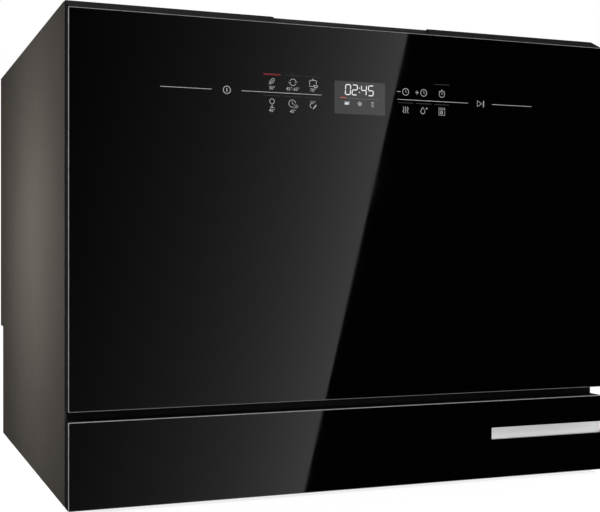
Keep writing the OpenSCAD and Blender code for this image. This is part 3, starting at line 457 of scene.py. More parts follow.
def basket_plastic():
    """Dark grey moulded plastic of the cutlery basket, with flow lines round its slots."""
    f = Finish("basket_plastic", (0.105, 0.11, 0.115), 0.45)
    f.tint((0.135, 0.14, 0.145), 0.015, (1, 1, 3), 4)
    f.gloss((0.38, 0.54), 0.004, detail=3)
    return f.relief(0.02, 0.0008, detail=2)


FINISHES = {f.__name__: f() for f in (
    black_plastic, brown_steel, zinc_steel, black_glass, bright_metal, stainless, felt, seal_rubber,
    grey_plastic, pump_metal, white_plastic, board_green, blue_plastic, rack_coating,
    basket_plastic)}
FINISHES["display"] = display_window()
EDGE = ground_edge()
INK = printed("print_bright", 0.82)
DIM_INK = printed("print_dim", 0.035)
WHITE_LIGHT = lit("lit_white", (1.0, 1.0, 1.0), 0.6)
SOFT_LIGHT = lit("lit_soft", (0.85, 0.88, 0.9), 0.5)
DIM_LIGHT = lit("lit_dim", (0.3, 0.3, 0.3), 0.2)
RED_LIGHT = lit("lit_red", (0.17, 0.014, 0.022), 0.5)
RED_MARK = lit("lit_mark", (0.62, 0.11, 0.12), 0.7)


def dress_nodes():
    """Gives every node of the frame the finish of its slot in the record."""
    for part in frame["record"]["subparts"]:
        piece = frame["nodes"][part["node"]]
        finish = FINISHES[part["material_slot"]].material
        if not piece.material_slots:
            piece.data.materials.append(finish)
        for slot in piece.material_slots:
            slot.material = finish


def soften(node, width):
    """Rolls a node's sharp edges: its triangles are merged, its flats made whole, and each edge
    that bends by more than 40 degrees gets a small round."""
    piece = frame["nodes"][node]
    weld = piece.modifiers.new("weld", "WELD")
    weld.merge_threshold = 0.004 * MM
    flats = piece.modifiers.new("flats", "DECIMATE")
    flats.decimate_type = "DISSOLVE"
    flats.angle_limit = math.radians(0.5)
    edge = piece.modifiers.new("edge", "BEVEL")
    edge.width, edge.segments = width, 2
    edge.limit_method, edge.angle_limit = "ANGLE", math.radians(40)
    edge.use_clamp_overlap = True
    edge.harden_normals = False


# The front

GLASS_ARRIS, GLASS_CORNER, POCKET_CORNER = 0.65, 0.8, 0.4
SHADE_LIP_Y = -232.6


def glass_sheet(name, node, body, pocket=None):
    """A sheet of glass with a ground arris all round: the faces that lean. A pocket, given as low
    and high along X and Z and a depth, is sunk into its front."""
    x0, x1, y0, y1, z0, z1 = span(node)
    a = GLASS_ARRIS
    rings = [lift(rounded(x0 + i, x1 - i, z0 + i, z1 - i, GLASS_CORNER, 3), y, Y)
             for i, y in ((a, y1), (0, y1 - a), (0, y0 + a), (a, y0))]
    if pocket:
        *box, deep = pocket
        rim = rounded(*box, POCKET_CORNER, 3)
        rings += [lift(rim, y0, Y), lift(rim, y0 + deep, Y)]
    finishes = (FINISHES["black_glass"], EDGE)
    mesh = put(name, [skin(rings)], body, "black_glass", [node], 20, finishes)
    lean = np.empty(len(mesh.polygons) * 3)
    mesh.polygons.foreach_get("normal", lean)
    face_on = np.abs(lean.reshape(-1, 3)[:, Y])
    ground = (face_on > 0.1) & (face_on < 0.95)
    mesh.polygons.foreach_set("material_index", ground.astype(np.int32))


def trim_strip():
    """The bare metal strip let into the plinth glass. From t = -1 at its lower edge to 1 at its
    upper one its face falls back by crown ((t - crest) / (1 + crest))^2 from its proudest line,
    and its ends are rolled."""
    x0, x1, y0, y1, z0, z1 = span("trim_strip")
    play, crown, crest, roll = 0.1, 0.95, 0.5, 0.3
    t = np.linspace(-1, 1, 17)
    middle, half = (z0 + z1) / 2, (z1 - z0) / 2 - play

    def section(inset):
        fall = crown * ((t - crest) / (1 + crest)) ** 2
        face = np.stack([y0 + inset + fall, middle + t * (half - inset)], -1)
        back = [(y1, middle + half), (y1, middle - half)]
        return np.concatenate([face, back])

    ends = [(play, roll), (play + 0.3 * roll, 0.3 * roll), (play + roll, 0)]
    stations = [(x0 + d, i) for d, i in ends] + [(x1 - d, i) for d, i in ends[::-1]]
    shape = skin([lift(section(inset), x, X) for x, inset in stations])
    put("trim_strip_bar", [shape], "cabinet", "bright_metal", ["trim_strip"])


def plinth_shade_lip():
    """A soft black blade on the plinth's back edge, put there as painted shade: it closes the view
    under the door so that the gap reads dark. It leans back and thins to a round tip, carried across
    the machine."""
    x0, x1, y0, y1, z0, z1 = span("plinth_carrier")
    play = 1.5
    blade = np.array([(0.6, -1.5), (0.6, 0), (0.9, 5.2), (1.15, 6.1),
                      (1.45, 6.1), (1.7, 5.2), (2.2, 0), (2.2, -1.5)])
    ring = blade + (SHADE_LIP_Y, z1)
    shape = skin([lift(ring, x, X) for x in np.linspace(x0 + play, x1 - play, 9)])
    # The black finish is painted shade: the dark blade stands for the shade in the gap under the door.
    put("plinth_shade_lip", [shape], "cabinet", "black_plastic")


# The print on the door's glass: each sign is given as lines and their widths, from its own centre

FRONT = span("door_glass")[2]
INK_THICK = 0.05
STROKE = 0.5
HAND = 0.42
BAR = 0.62
RULE = 0.46


def line(points, width):
    """A printed stroke: a flat bar along points, its section a rectangle that stands one ink's
    thickness proud of the glass. A path that ends where it starts is a loop."""
    points = np.asarray(points, float)
    closed = len(points) > 2 and np.allclose(points[0], points[-1])
    path = lift(points[:-1] if closed else points, FRONT, Y)
    across = np.cross(directions(path, closed), (0, 1, 0)) * width / 2
    proud = np.array([0, -INK_THICK, 0])
    return skin(np.stack([path - across, path + across, path + across + proud,
                          path - across + proud], 1), loop=closed)


def level(a, b, z, width):
    """A printed bar that lies level, from a to b along X."""
    return line([(a, z), (b, z)], width)


def arc(x, z, radius, start=0, end=360, steps=25):
    """Points on a circle, from one angle in degrees to another."""
    a = np.radians(np.linspace(start, end, steps))
    return np.stack([x + radius * np.cos(a), z + radius * np.sin(a)], -1)


def stamp(sign, x, z):
    """The strokes of a sign, each a line and its width, set down at a place on the glass."""
    return [line(np.asarray(points, float) + (x, z), width) for points, width in sign()]


def power_sign():
    """A circle with an upright bar in it."""
    return [(arc(0, 0, 3.4), 0.6), ([(0, -1.7), (0, 1.7)], 0.75)]


def clock_sign():
    """A dial with two hands."""
    return [(arc(0, 0, 3.3), STROKE), ([(0, 2.0), (0, 0), (1.4, -0.8)], HAND)]


def timer_sign():
    """A stopwatch: a dial with a hand, a button on top and two ears."""
    return [(arc(0, -0.4, 3.0), STROKE), ([(0, 1.2), (0, -0.4), (1.1, -0.4)], HAND),
            ([(-0.9, 3.7), (0.9, 3.7)], BAR), ([(-3.2, 2.0), (-2.4, 2.8)], STROKE),
            ([(2.4, 2.8), (3.2, 2.0)], STROKE)]


def minus_sign():
    """A short bar."""
    return [([(-1.9, 0), (1.9, 0)], STROKE)]


def plus_sign():
    """Two crossed bars."""
    return minus_sign() + [([(0, -1.9), (0, 1.9)], STROKE)]


def pot_sign():
    """A lidded pot with a plate that leans on it."""
    return [([(-4.2, 2.0), (-3.3, 2.0), (-3.3, -2.9), (1.0, -2.9)], STROKE),
            ([(4.2, 2.0), (3.4, 2.0), (3.4, -0.9)], STROKE), ([(-3.3, 2.8), (3.4, 2.8)], STROKE),
            ([(-0.9, 3.9), (0.9, 3.9)], BAR), ([(0.4, -1.8), (5.2, -1.8)], STROKE),
            (arc(2.8, -1.9, 1.9, 190, 350), 0.8)]


def glass_sign():
    """A stemmed glass."""
    return [(arc(0, 1.6, 2.3), STROKE), ([(0, -0.7), (0, -3.9)], BAR),
            ([(-1.9, -4.0), (1.9, -4.0)], BAR)]


def quick_sign():
    """A dial with two chevrons that point ahead, for a short run."""
    chevrons = [([(x, -0.6), (x + 1.8, -2.2), (x, -3.8)], STROKE) for x in (1.2, 3.2)]
    dial = arc(-0.6, 0.4, 3.4, 10, 290)
    return [(dial, STROKE), ([(-0.6, 2.4), (-0.6, 0.4), (0.6, -0.2)], HAND), *chevrons]


def spray_sign():
    """Three jets over a brush."""
    jets = [([(k, 3.9), (1.25 * k, 2.2)], STROKE) for k in (-1.7, 0, 1.7)]
    return jets + [(arc(-0.5, -0.6, 2.3, 60, 250), STROKE), ([(0.2, -3.6), (3.4, 0.2)], 1.1)]


def leaf_sign():
    """A leaf with its stalk, for the sparing programme."""
    blade = np.concatenate([arc(2.0, -1.8, 4.3, 90, 170, 10), arc(-2.0, 1.9, 4.3, 270, 350, 10)])
    return [(np.concatenate([blade, blade[:1]]), STROKE), ([(-3.2, -3.2), (1.0, 1.0)], HAND)]


def cycle_sign():
    """Two arrows that chase each other round a circle."""
    head = np.array([(4.2, -0.2), (3.1, 1.3), (2.0, -0.2)])
    heads = [(head, STROKE), (-head, STROKE)]
    return heads + [(arc(0, 0, 3.1, s, s + 135), STROKE) for s in (22, 202)]


def dry_sign():
    """Three rising waves."""
    t = np.linspace(-3.2, 3.2, 16)
    return [(np.stack([k + 0.5 * np.sin(1.5 * t), t], -1), STROKE) for k in (-2.3, 0, 2.3)]


def drop_sign():
    """A drop with a plus beside it."""
    drop = np.concatenate([[(-1.0, 3.4)], arc(-1.0, -0.8, 2.2, 30, -210, 16), [(-1.0, 3.4)]])
    return [(drop, STROKE), ([(2.0, 2.3), (4.4, 2.3)], STROKE), ([(3.2, 1.1), (3.2, 3.5)], STROKE)]


def machine_sign():
    """A machine's front with half of it filled."""
    return [([(-3.2, -3.5), (3.2, -3.5), (3.2, 3.5), (-3.2, 3.5), (-3.2, -3.5)], STROKE),
            ([(-2.2, 2.2), (2.2, 2.2)], HAND), (arc(0, -0.8, 1.7, 90, 270, 10), STROKE),
            ([(0.3, -2.4), (0.3, 0.9)], 0.9)]


def start_sign():
    """A triangle that points to the right, beside an upright bar."""
    return [([(-3.6, -2.9), (-3.6, 2.9), (1.4, 0), (-3.6, -2.9)], 0.8),
            ([(3.4, -3.1), (3.4, 3.1)], 0.9)]


def numerals(words, x, z, height):
    """Plain figures as thin solids, centred at a place on the glass."""
    curve = bpy.data.curves.new("numerals", "FONT")
    curve.body, curve.align_x, curve.align_y = words, "CENTER", "CENTER"
    curve.size, curve.extrude, curve.resolution_u = EM * height, INK_THICK / 2, 3
    holder = bpy.data.objects.new("numerals", curve)
    scene.collection.objects.link(holder)
    bpy.context.view_layer.update()
    mesh = bpy.data.meshes.new_from_object(holder)
    flat = np.empty(len(mesh.vertices) * 3)
    mesh.vertices.foreach_get("co", flat)
    flat = flat.reshape(-1, 3)
    points = np.stack([flat[:, 0] + x, FRONT - INK_THICK / 2 - flat[:, 2], flat[:, 1] + z], -1)
    faces = [np.array(p.vertices) for p in mesh.polygons]
    bpy.data.objects.remove(holder)
    bpy.data.curves.remove(curve)
    bpy.data.meshes.remove(mesh)
    return Shape(points, np.zeros((0, 4), int), faces)


KEY_LINE = 376.0
RULES = ((-194, -146.2), (-118, -39), (40.3, 117.7), (145, 190.9))
POWER_X, START_X = -132, 131.8
UPPER_BAR, LOWER_BAR = 392.6, 373.0
UPPER_SIGN, LOWER_SIGN, CLOCKS = 386.4, 366.2, 383.6
UPPER_FIGURE, LOWER_FIGURE, FIGURE_H = 380.0, 359.2, 3.2
LEFT_KEYS = (-88.3, -67.7, -47.6)
RIGHT_KEYS = (49.0, 68.6, 88.5)
BESIDE_CLOCK = 7.2
ROWS = ((LEFT_KEYS, UPPER_SIGN, (leaf_sign, cycle_sign, pot_sign)),
        (LEFT_KEYS, LOWER_SIGN, (glass_sign, quick_sign, spray_sign)),
        (RIGHT_KEYS, CLOCKS, (clock_sign, clock_sign, timer_sign)),
        (RIGHT_KEYS, LOWER_SIGN, (dry_sign, drop_sign, machine_sign)))
EM = 1.35
FIGURES = ((UPPER_FIGURE, ("50°", "45°-65°", "70°")), (LOWER_FIGURE, ("40°", "45°")))


def glass_print():
    """Everything printed in pale grey on the door's glass: the long lines, the signs and figures."""
    marks = [level(a, b, KEY_LINE, RULE) for a, b in RULES]
    marks += stamp(power_sign, POWER_X, KEY_LINE) + stamp(start_sign, START_X, KEY_LINE)
    for keys, height, signs in ROWS:
        for sign, x in zip(signs, keys):
            marks += stamp(sign, x, height)
    for sign, x in zip((minus_sign, plus_sign), RIGHT_KEYS):
        marks += stamp(sign, x - BESIDE_CLOCK, CLOCKS)
    for height, row in FIGURES:
        for words, x in zip(row, LEFT_KEYS):
            marks.append(numerals(words, x, height, FIGURE_H))
    put("glass_print", marks, "door", "display", finishes=[INK])


def indicator_bars():
    """The unlit bars over and under the keys with a small key sign, and the red bar that is lit."""
    thin, lit_width = 0.7, 1.5
    left = [(x - 8.4, x + 8.4) for x in LEFT_KEYS]
    right = [(x - 8.2, x + 8.2) for x in RIGHT_KEYS]
    dim = [level(a, b, UPPER_BAR, thin) for a, b in (*left[1:], right[2])]
    dim += [level(a, b, LOWER_BAR, thin) for a, b in (*left, *right)]
    key, high = LEFT_KEYS[1], UPPER_BAR + 2.2
    lock = [line(arc(key - 1.4, high, 0.9), 0.5), level(key - 0.5, key + 1.9, high, 0.5)]
    put("indicator_bars", dim + lock, "door", "display", finishes=[DIM_INK])
    put("indicator_lit", [level(*left[0], UPPER_BAR, lit_width)], "door", "display",
        finishes=[RED_LIGHT])


DISPLAY_BOX = (-25.7, 27.0, 359.5, 390.5)


def display_pane():
    """The lit window, let into the face of the glass, with rounded corners."""
    proud, deep, corner, edge = 0.04, 0.3, 1.0, 0.03
    shape = slab(*DISPLAY_BOX, FRONT - proud, FRONT + deep, Y, corner, edge, 2, 5)
    put("display_pane", [shape], "door", "display")


# Which of the seven bars each figure lights: top, upper right, lower right, bottom, lower left,
# upper left, middle
SEVEN = {"0": "abcdef", "2": "abged", "4": "fgbc", "5": "afgcd"}
DIGIT_W, DIGIT_H, DIGIT_BAR = 5.1, 9.4, 0.88
DIGIT_LEAN = 0.06


def digit(figure, x, z):
    """A figure of up to seven bars, leaning a little to the right."""
    w, h, gap = DIGIT_W / 2, DIGIT_H / 2, 0.4
    bars = {"a": [(-w + gap, h), (w - gap, h)], "b": [(w, h - gap), (w, gap)],
            "c": [(w, -gap), (w, -h + gap)], "d": [(-w + gap, -h), (w - gap, -h)],
            "e": [(-w, -gap), (-w, -h + gap)], "f": [(-w, h - gap), (-w, gap)],
            "g": [(-w + gap, 0), (w - gap, 0)]}
    return [line([(x + a + DIGIT_LEAN * b, z + b) for a, b in bars[k]], DIGIT_BAR)
            for k in SEVEN[figure]]


def tank_sign():
    """A tap's level: a filled bar with a spout."""
    return [([(-2.6, -0.6), (1.6, -0.6)], 1.8), ([(-2.6, 0.9), (2.8, 0.9)], 0.5)]


def sun_sign():
    """A small ring with eight rays."""
    a = np.arange(0, TAU, TAU / 8)
    rays = np.stack([np.cos(a), np.sin(a)], -1)
    return [(arc(0, 0, 1.0), 0.4)] + [([1.5 * ray, 2.3 * ray], 0.4) for ray in rays]


def salt_sign():
    """A mark that doubles back, for the salt."""
    return [([(-1.3, 2.1), (1.3, 2.1), (-1.2, 0.1), (1.4, 0.1), (-1.2, -1.9), (1.4, -1.9)], 0.5)]


DIGITS, DIGITS_Z = ((-11.8, "0"), (-4.8, "2"), (4.6, "4"), (12.0, "5")), 382.6
COLON_Z, RULE_Z, MARK_Z = (380.6, 384.6), 374.3, 374.8
SIGNS = ((tank_sign, -12.6, 369.8), (sun_sign, 0.4, 369.6), (salt_sign, 13.8, 369.4))


def display_light():
    """What the window shows: the time, a thin rule, a red mark and three small signs."""
    time = [bar for x, figure in DIGITS for bar in digit(figure, x, DIGITS_Z)]
    time += [level(-0.4, 0.5, z, 0.9) for z in COLON_Z]
    signs = [stroke for sign, x, z in SIGNS for stroke in stamp(sign, x, z)]
    proud = (0, -INK_THICK - 0.02, 0)
    for name, shapes, finish in (("display_time", time, WHITE_LIGHT),
                                 ("display_signs", signs, SOFT_LIGHT),
                                 ("display_rule", [level(-12.5, 19.4, RULE_Z, 0.3)], DIM_LIGHT),
                                 ("display_mark", [level(-19.6, -13.4, MARK_Z, 0.7)], RED_MARK)):
        put(name, [s.at(s.points + proud) for s in shapes], "door", "display", finishes=[finish])


# The rack and what stands in it

RIM_R, WIRE_R, THIN_R, FINE_R = 2.5, 2.0, 1.7, 1.4
WELD = 1.8
RACK = span("rack_frame")
RACK_X = RACK[1] - RIM_R
RACK_FRONT, RACK_BACK = RACK[2] + RIM_R, RACK[3] - RIM_R
RIM_Z = RACK[5] - RIM_R
LOW_Z = RACK[4] + WIRE_R
BASE_Z = LOW_Z + WELD * WIRE_R
RAKE = 15
RACK_FOOT = RACK_FRONT + RAKE
MID_Z = BASE_Z + 0.55 * (RIM_Z - BASE_Z)
ALONG = np.linspace(-RACK_X, RACK_X, 12)
ACROSS = np.linspace(RACK_FOOT, RACK_BACK, 11)
TINES, TINE_H, TINE_SHIFT = 7, 72, 9
TINE_Y = RACK_FOOT + 254
WIRE_BEND, HOOP_BEND, SHELF_BEND = 10, 16, 12


def rack_wires():
    """The rack: rims bent round the corners, wires that run down the raked front, along the base
    and up the back, wires that cross under them, and a row of fixed tines."""
    def front(z):
        return RACK_FOOT - RAKE * (z - BASE_Z) / (RIM_Z - BASE_Z)

    def hoop(z, radius):
        corners = [(-RACK_X, front(z), z), (RACK_X, front(z), z),
                   (RACK_X, RACK_BACK, z), (-RACK_X, RACK_BACK, z)]
        return tube(bent(corners, HOOP_BEND, 10, True), radius, 12, True)

    parts = [hoop(RIM_Z, RIM_R), hoop(MID_Z, WIRE_R)]
    for x in ALONG[1:-1]:
        parts.append(tube(bent([(x, RACK_FRONT, RIM_Z), (x, RACK_FOOT, BASE_Z),
                                (x, RACK_BACK, BASE_Z), (x, RACK_BACK, RIM_Z)], WIRE_BEND), WIRE_R))
    for y in ACROSS[1:-1]:
        parts.append(tube(bent([(-RACK_X, y, RIM_Z), (-RACK_X, y, LOW_Z), (RACK_X, y, LOW_Z),
                                (RACK_X, y, RIM_Z)], WIRE_BEND), WIRE_R))
    for y in ACROSS[[0, -1]]:
        parts.append(tube([(-RACK_X + WIRE_BEND, y, LOW_Z), (RACK_X - WIRE_BEND, y, LOW_Z)], WIRE_R))
    for x in ALONG[1:TINES + 1]:
        parts += tine(x, TINE_Y, BASE_Z, BASE_Z + TINE_H)
    put("rack_wires", parts, "rack", "rack_coating", ["rack_frame"], 60)


def tine(x, y, foot, top):
    """A tine, with a drop of coating spun round its end."""
    drop = [(0.4, -6), (1.9, -5.5), (2.5, -3), (2.3, -1), (1.4, -0.2), (0.2, 0)]
    return [tube([(x, y, foot), (x, y, top - THIN_R)], THIN_R), spun(drop, Z, (x, y, top), 12)]


def tine_row():
    """The folding tines: a rod with a row of tines that have round tips."""
    x0, x1, y0, y1, z0, z1 = span("folding_tines")
    y, z = (y0 + y1) / 2, z0 + WIRE_R
    parts = [tube([(x0 + WIRE_R, y, z), (x1 - WIRE_R, y, z)], WIRE_R)]
    for x in ALONG[1:TINES + 1] + TINE_SHIFT:
        parts += tine(x, y, z, z1)
    put("tine_row", parts, "folding_tines", "rack_coating", ["folding_tines"], 60)


def cup_rack():
    """The cup shelf: a rod that it turns on, a frame bent from one wire, a bar under its middle and
    cross wires. The solid's rod has six sides, so its axis is cos(30 deg) radii in from its face."""
    x0, x1, y0, y1, z0, z1 = span("cup_shelf")
    z, rod, outer = z1 - WIRE_R, x1 - math.cos(TAU / 12) * WIRE_R, x0 + WIRE_R
    overhang, play = 8, 0.1
    fore, rear, middle = y0 + overhang, y1 - overhang, (x0 + x1) / 2
    under = z - WELD * FINE_R
    parts = [tube([(rod, y0 + WIRE_R, z), (rod, y1 - WIRE_R, z)], WIRE_R - play),
             tube(bent([(rod, fore, z), (outer, fore, z), (outer, rear, z), (rod, rear, z)],
                       SHELF_BEND, 8), THIN_R),
             tube([(middle, fore - FINE_R, under), (middle, rear + FINE_R, under)], FINE_R)]
    parts += [tube([(rod, y, z), (outer, y, z)], FINE_R) for y in np.linspace(fore, rear, 6)[1:-1]]
    put("cup_rack", parts, "cup_shelf", "rack_coating", ["cup_shelf"], 60)


def rack_wheel(node):
    """A rack wheel: a tyre with rolled rims, a thin web with six ribs, and a hub."""
    x0, x1, y0, y1, z0, z1 = span(node)
    r, w = (z1 - z0) / 2, x1 - x0
    y, z = (y0 + y1) / 2, (z0 + z1) / 2
    bore, hub, tyre, thin, rim, sunk = 2.6, 5.2, r - 2.6, 2.6, 0.7, 0.8
    half = [(bore, 0), (hub, 0), (hub, thin), (tyre, thin), (tyre, 0), (r - 0.6, 0), (r, rim)]
    section = half + [(reach, w - along) for reach, along in half[::-1]]
    parts = [spun(section, X, (x0, y, z), 40, True)]
    rib = slab(hub - 0.2, tyre + 0.2, -0.6, 0.6, sunk, w - sunk, X, 0.1, 0.2, 2, 2)
    along, out, aside = rib.points.T
    for a in np.arange(0, TAU, TAU / 6):
        c, s = math.cos(a), math.sin(a)
        turned = np.stack([x0 + along, y + c * out - s * aside, z + s * out + c * aside], -1)
        parts.append(rib.at(turned))
    put(node + "_tyre", parts, node, "grey_plastic", [node], 30)


# Inside the tub

def framed(a0, a1, b0, b1, depth, axis):
    """The four corners of a frame at one depth along an axis."""
    return lift([(a0, b0), (a1, b0), (a1, b1), (a0, b1)], depth, axis)


def tub_pressings():
    """The ribs pressed into the tub: a frame on the back wall, one on the roof and two bars along
    each side above the rails."""
    x0, x1, fore, back, z0, z1 = span("tub")
    back -= 1
    side_x, roof, floor = 240, 423, 129
    wide, proud, bend, inset = 9, 1.6, 40, 45
    panel = framed(-150, 150, floor + 60, roof - 45, back, Y)
    lid = framed(-160, 160, fore + 70, back - 60, roof, Z)
    parts = [bead(bent(panel, bend, 10, True), (0, -1, 0), wide, proud),
             bead(bent(lid, bend, 10, True), (0, 0, -1), wide, proud)]
    for side in (-1, 1):
        for z in (roof - 75, roof - 150):
            x = side * side_x
            path = np.linspace((x, fore + inset, z), (x, back - inset, z), 8)
            parts.append(bead(path, (-side, 0, 0), wide, proud, False))
    put("tub_pressings", parts, "cabinet", "stainless")


def door_pressings():
    """The frame pressed into the inner door."""
    x0, x1, y0, y1, z0, z1 = span("door_inner_panel")
    inset, bend, wide, proud = 26, 24, 8, 1.4
    frame_line = framed(x0 + inset, x1 - inset, z0 + inset, z1 - inset, y1, Y)
    parts = [bead(bent(frame_line, bend, 10, True), (0, 1, 0), wide, proud)]
    put("door_pressings", parts, "door", "stainless")


def gasket():
    """The door seal: a soft bulb with a foot, carried round the mouth of the tub."""
    x0, x1, y0, y1, z0, z1 = span("door_gasket")
    thick, deep, corner, sides = 7.5, y1 - y0, 26, 12
    r = thick / 2
    a = full_turn(sides)
    outline = rounded(x0 + r, x1 - r, z0 + r, z1 - r, corner, 12)
    along = directions(outline, True)
    out = np.stack([along[:, 1], -along[:, 0]], -1)

    def ring(share, middle, half):
        """A hose round the mouth: its section has half widths r times share, and half."""
        points = np.empty((len(outline), sides, 3))
        points[..., X] = outline[:, :1] + out[:, :1] * r * share * np.cos(a)
        points[..., Y] = middle + half * np.sin(a)
        points[..., Z] = outline[:, 1:] + out[:, 1:] * r * share * np.cos(a)
        return skin(points, True)

    bulb, base = 0.42 * deep, 0.22 * deep
    parts = [ring(1.0, y0 + bulb, bulb), ring(0.6, y1 - base, base)]
    put("gasket_bulb", parts, "cabinet", "seal_rubber", ["door_gasket"], 60)


def squarish(v):
    """A sine or cosine flattened towards a square wave: |v|^0.75 with the sign of v."""
    return np.sign(v) * np.abs(v) ** 0.75


def spray_arm():
    """The spray arm: along its length s from -1 to 1 its half width is (21.5 - 9|s|) mm and its
    half thickness (5.3 - 1.7|s|) mm, both times the root of 1 - |s|^14, which rounds the tips, and
    its middle line swings aside by 3 sin(pi s) mm."""
    x0, x1, y0, y1, z0, z1 = span("spray_arm")
    reach, y, z = (x1 - x0) / 2, (y0 + y1) / 2, z0 + 11.5
    swing, sides, tip = 3, 28, 0.9995

    def middle(s):
        return y - swing * np.sin(math.pi * s)

    def thickness(s):
        return 5.3 - 1.7 * np.abs(s)

    s = np.sin(np.linspace(-math.pi / 2, math.pi / 2, 61)) * tip
    close = np.sqrt(1 - np.abs(s) ** 14)
    wide = (21.5 - 9 * np.abs(s)) * close
    thick = thickness(s) * close
    a = full_turn(sides)
    blade = np.empty((len(s), sides, 3))
    blade[..., X] = reach * s[:, None]
    blade[..., Y] = middle(s)[:, None] + wide[:, None] * squarish(np.cos(a))
    blade[..., Z] = z + thick[:, None] * squarish(np.sin(a))
    collar = [(5, -1), (4.6, 0.3), (3.4, 1.1), (2.6, 1.1), (2.3, 0.6), (0.3, 0.6)]
    collars, slot_shades = [], []
    for side in (-1, 1):
        for share in (0.35, 0.5, 0.65, 0.8, 0.93):
            x, at, top = side * share * reach, middle(side * share), z + thickness(share) - 0.2
            collars.append(spun(collar, Z, (x, at, top), 20))
            # Each black slab in a collar stands for a jet's opening: painted shade where the hole would
            # look dark.
            box = (x - 2, x + 2, at - 0.6, at + 0.6, top + 0.3, top + 0.75)
            slot_shades.append(slab(*box, Z, 0.5, 0.1, 2, 3))
    knurl = 48
    turn = full_turn(knurl)
    levels = ((22, -17.5, 0), (22, -6, 0), (17, -3.2, 0), (16.4, -2.6, 0.6), (16.4, 0.4, 0.6),
              (15, 1.6, 0), (9, 2.6, 0), (1, 2.8, 0))
    hub = np.empty((len(levels), knurl, 3))
    for i, (r, high, grip) in enumerate(levels):
        r = r + grip * np.cos(12 * turn)
        level_z = np.full(knurl, z1 - 1.4 + high)
        hub[i] = np.stack([r * np.cos(turn), y + r * np.sin(turn), level_z], -1)
    put("spray_arm_blade", [skin(blade), skin(hub), *collars], "spray_arm", "grey_plastic",
        ["spray_arm"], 45)
    put("spray_slot_shades", slot_shades, "spray_arm", "black_plastic")


# Small hardware

def hinge_coils():
    """The counterbalance springs: at turn t the wire lies at radius r round the hinge pin, and
    moves along the pin at a steady rate."""
    x0, x1, y0, y1, z0, z1 = span("hinge_springs")
    y, z, wire = (y0 + y1) / 2, (z0 + z1) / 2, 0.7
    r, length, turns = (z1 - z0) / 2 - wire, 7, 5
    t = np.linspace(0, turns, 20 * turns)
    x = x1 - length + wire + (length - 2 * wire) * t / turns
    path = np.stack([x, y + r * np.cos(TAU * t), z + r * np.sin(TAU * t)], -1)
    coil = tube(path, wire, 7)
    other = coil.at(coil.points * (-1, 1, 1))
    put("hinge_coils", [coil, other], "cabinet", "zinc_steel", ["hinge_springs"], 60)


def screw_head(x, y, z, radius, high, sides=48):
    """A pan head on the back: a dome with a cross cut into it wherever the distance to one of two
    crossing lines is under half a slot, within the slot's reach."""
    share = np.array([0.01, 0.12, 0.2, 0.26, 0.45, 0.62, 0.68, 0.85, 0.96, 1.0, 1.0])
    half_slot, reach, cut, under = 0.13 * radius, 0.65, 0.55 * high, 0.1
    a = full_turn(sides)
    px = share[:, None] * radius * np.cos(a)
    pz = share[:, None] * radius * np.sin(a)
    dome = high * np.sqrt(np.clip(1 - (0.92 * share[:, None]) ** 2.6, 0, 1)) * np.ones(sides)
    dome[-1] = -under
    slot = (np.minimum(np.abs(px), np.abs(pz)) < half_slot) & (share[:, None] < reach)
    depth = dome - np.where(slot, cut, 0)
    return skin(np.stack([x + px, y + depth, z + pz], -1))


def cover_screw_heads():
    """Six pan heads that hold the upper rear cover, at three heights on each side."""
    x0, x1, y0, y1, z0, z1 = span("cover_screws")
    radius, high = 3.4, 1.4
    heads = [screw_head(x, y1 - high, z, radius, high) for x in (x0 + radius, x1 - radius)
             for z in (z0 + radius, (z0 + z1) / 2, z1 - radius)]
    put("cover_screw_heads", heads, "cabinet", "zinc_steel", ["cover_screws"], 25)


INLET_X, DRAIN_X, PORT_Z, NUT_Y = -180, 195, 92, 226.2


def connection_trims():
    """The thread on the water inlet, a ridge that climbs a pitch a turn, the barbs on the drain
    spigot, and the nut of the mains gland."""
    inlet, drain, gland = span("inlet_valve"), span("drain_outlet"), span("mains_gland")
    r, length, pitch = 13.1, 14, 1.8
    turns = (length - 2) / pitch
    t = np.linspace(0, turns, int(turns * 32))
    path = np.stack([INLET_X + r * np.cos(TAU * t), inlet[3] - length + pitch * t + 0.6,
                     PORT_Z + r * np.sin(TAU * t)], -1)
    put("inlet_thread", [tube(path, 0.5, 6)], "cabinet", "white_plastic", (), 60)
    barb = [(9, 0), (10.5, 0), (11.4, 0.6), (10.6, 4), (9, 4)]
    barbs = [spun(barb, Y, (DRAIN_X, drain[3] - 5.5 - 5 * k, PORT_Z), 40, True) for k in range(3)]
    put("drain_barbs", barbs, "cabinet", "black_plastic", (), 30)
    nut = [(8.1, 0), (11.6, 0), (12.6, 0.8), (12.6, 5), (11.6, 5.8), (8.1, 5.8)]
    place = ((gland[0] + gland[1]) / 2, NUT_Y, (gland[4] + gland[5]) / 2)
    put("gland_nut", [spun(nut, Y, place, 6, True)], "cabinet", "black_plastic", (), 25)


def foot(node):
    """A foot: a rubber pad whose rim is ribbed, r = R (1 - 0.02 (0.5 - 0.5 cos 24a)), and its
    screw."""
    x0, x1, y0, y1, z0, z1 = span(node)
    x, y, r = (x0 + x1) / 2, (y0 + y1) / 2, (x1 - x0) / 2
    sides, ribs, deep = 96, 24, 0.02
    a = full_turn(sides)
    levels = ((0.94, 0, 0), (0.99, 0.3, 1), (1.0, 0.8, 1), (1.0, 2.2, 1), (0.97, 2.8, 1),
              (0.9, 3.0, 0), (0.3, 3.0, 0))
    pad = np.empty((len(levels), sides, 3))
    for i, (share, high, ribbed) in enumerate(levels):
        edge = r * share * (1 - deep * ribbed * (0.5 - 0.5 * np.cos(ribs * a)))
        pad[i] = np.stack([x + edge * np.cos(a), y + edge * np.sin(a), np.full(sides, z0 + high)], -1)
    long = z1 - z0
    screw = spun([(3.9, 0), (3.9, long - 4), (3.2, long - 3)], Z, (x, y, z0 + 2.9), 32)
    put(node + "_pad", [skin(pad), screw], node, "seal_rubber", [node], 40)


# Light, floor and camera

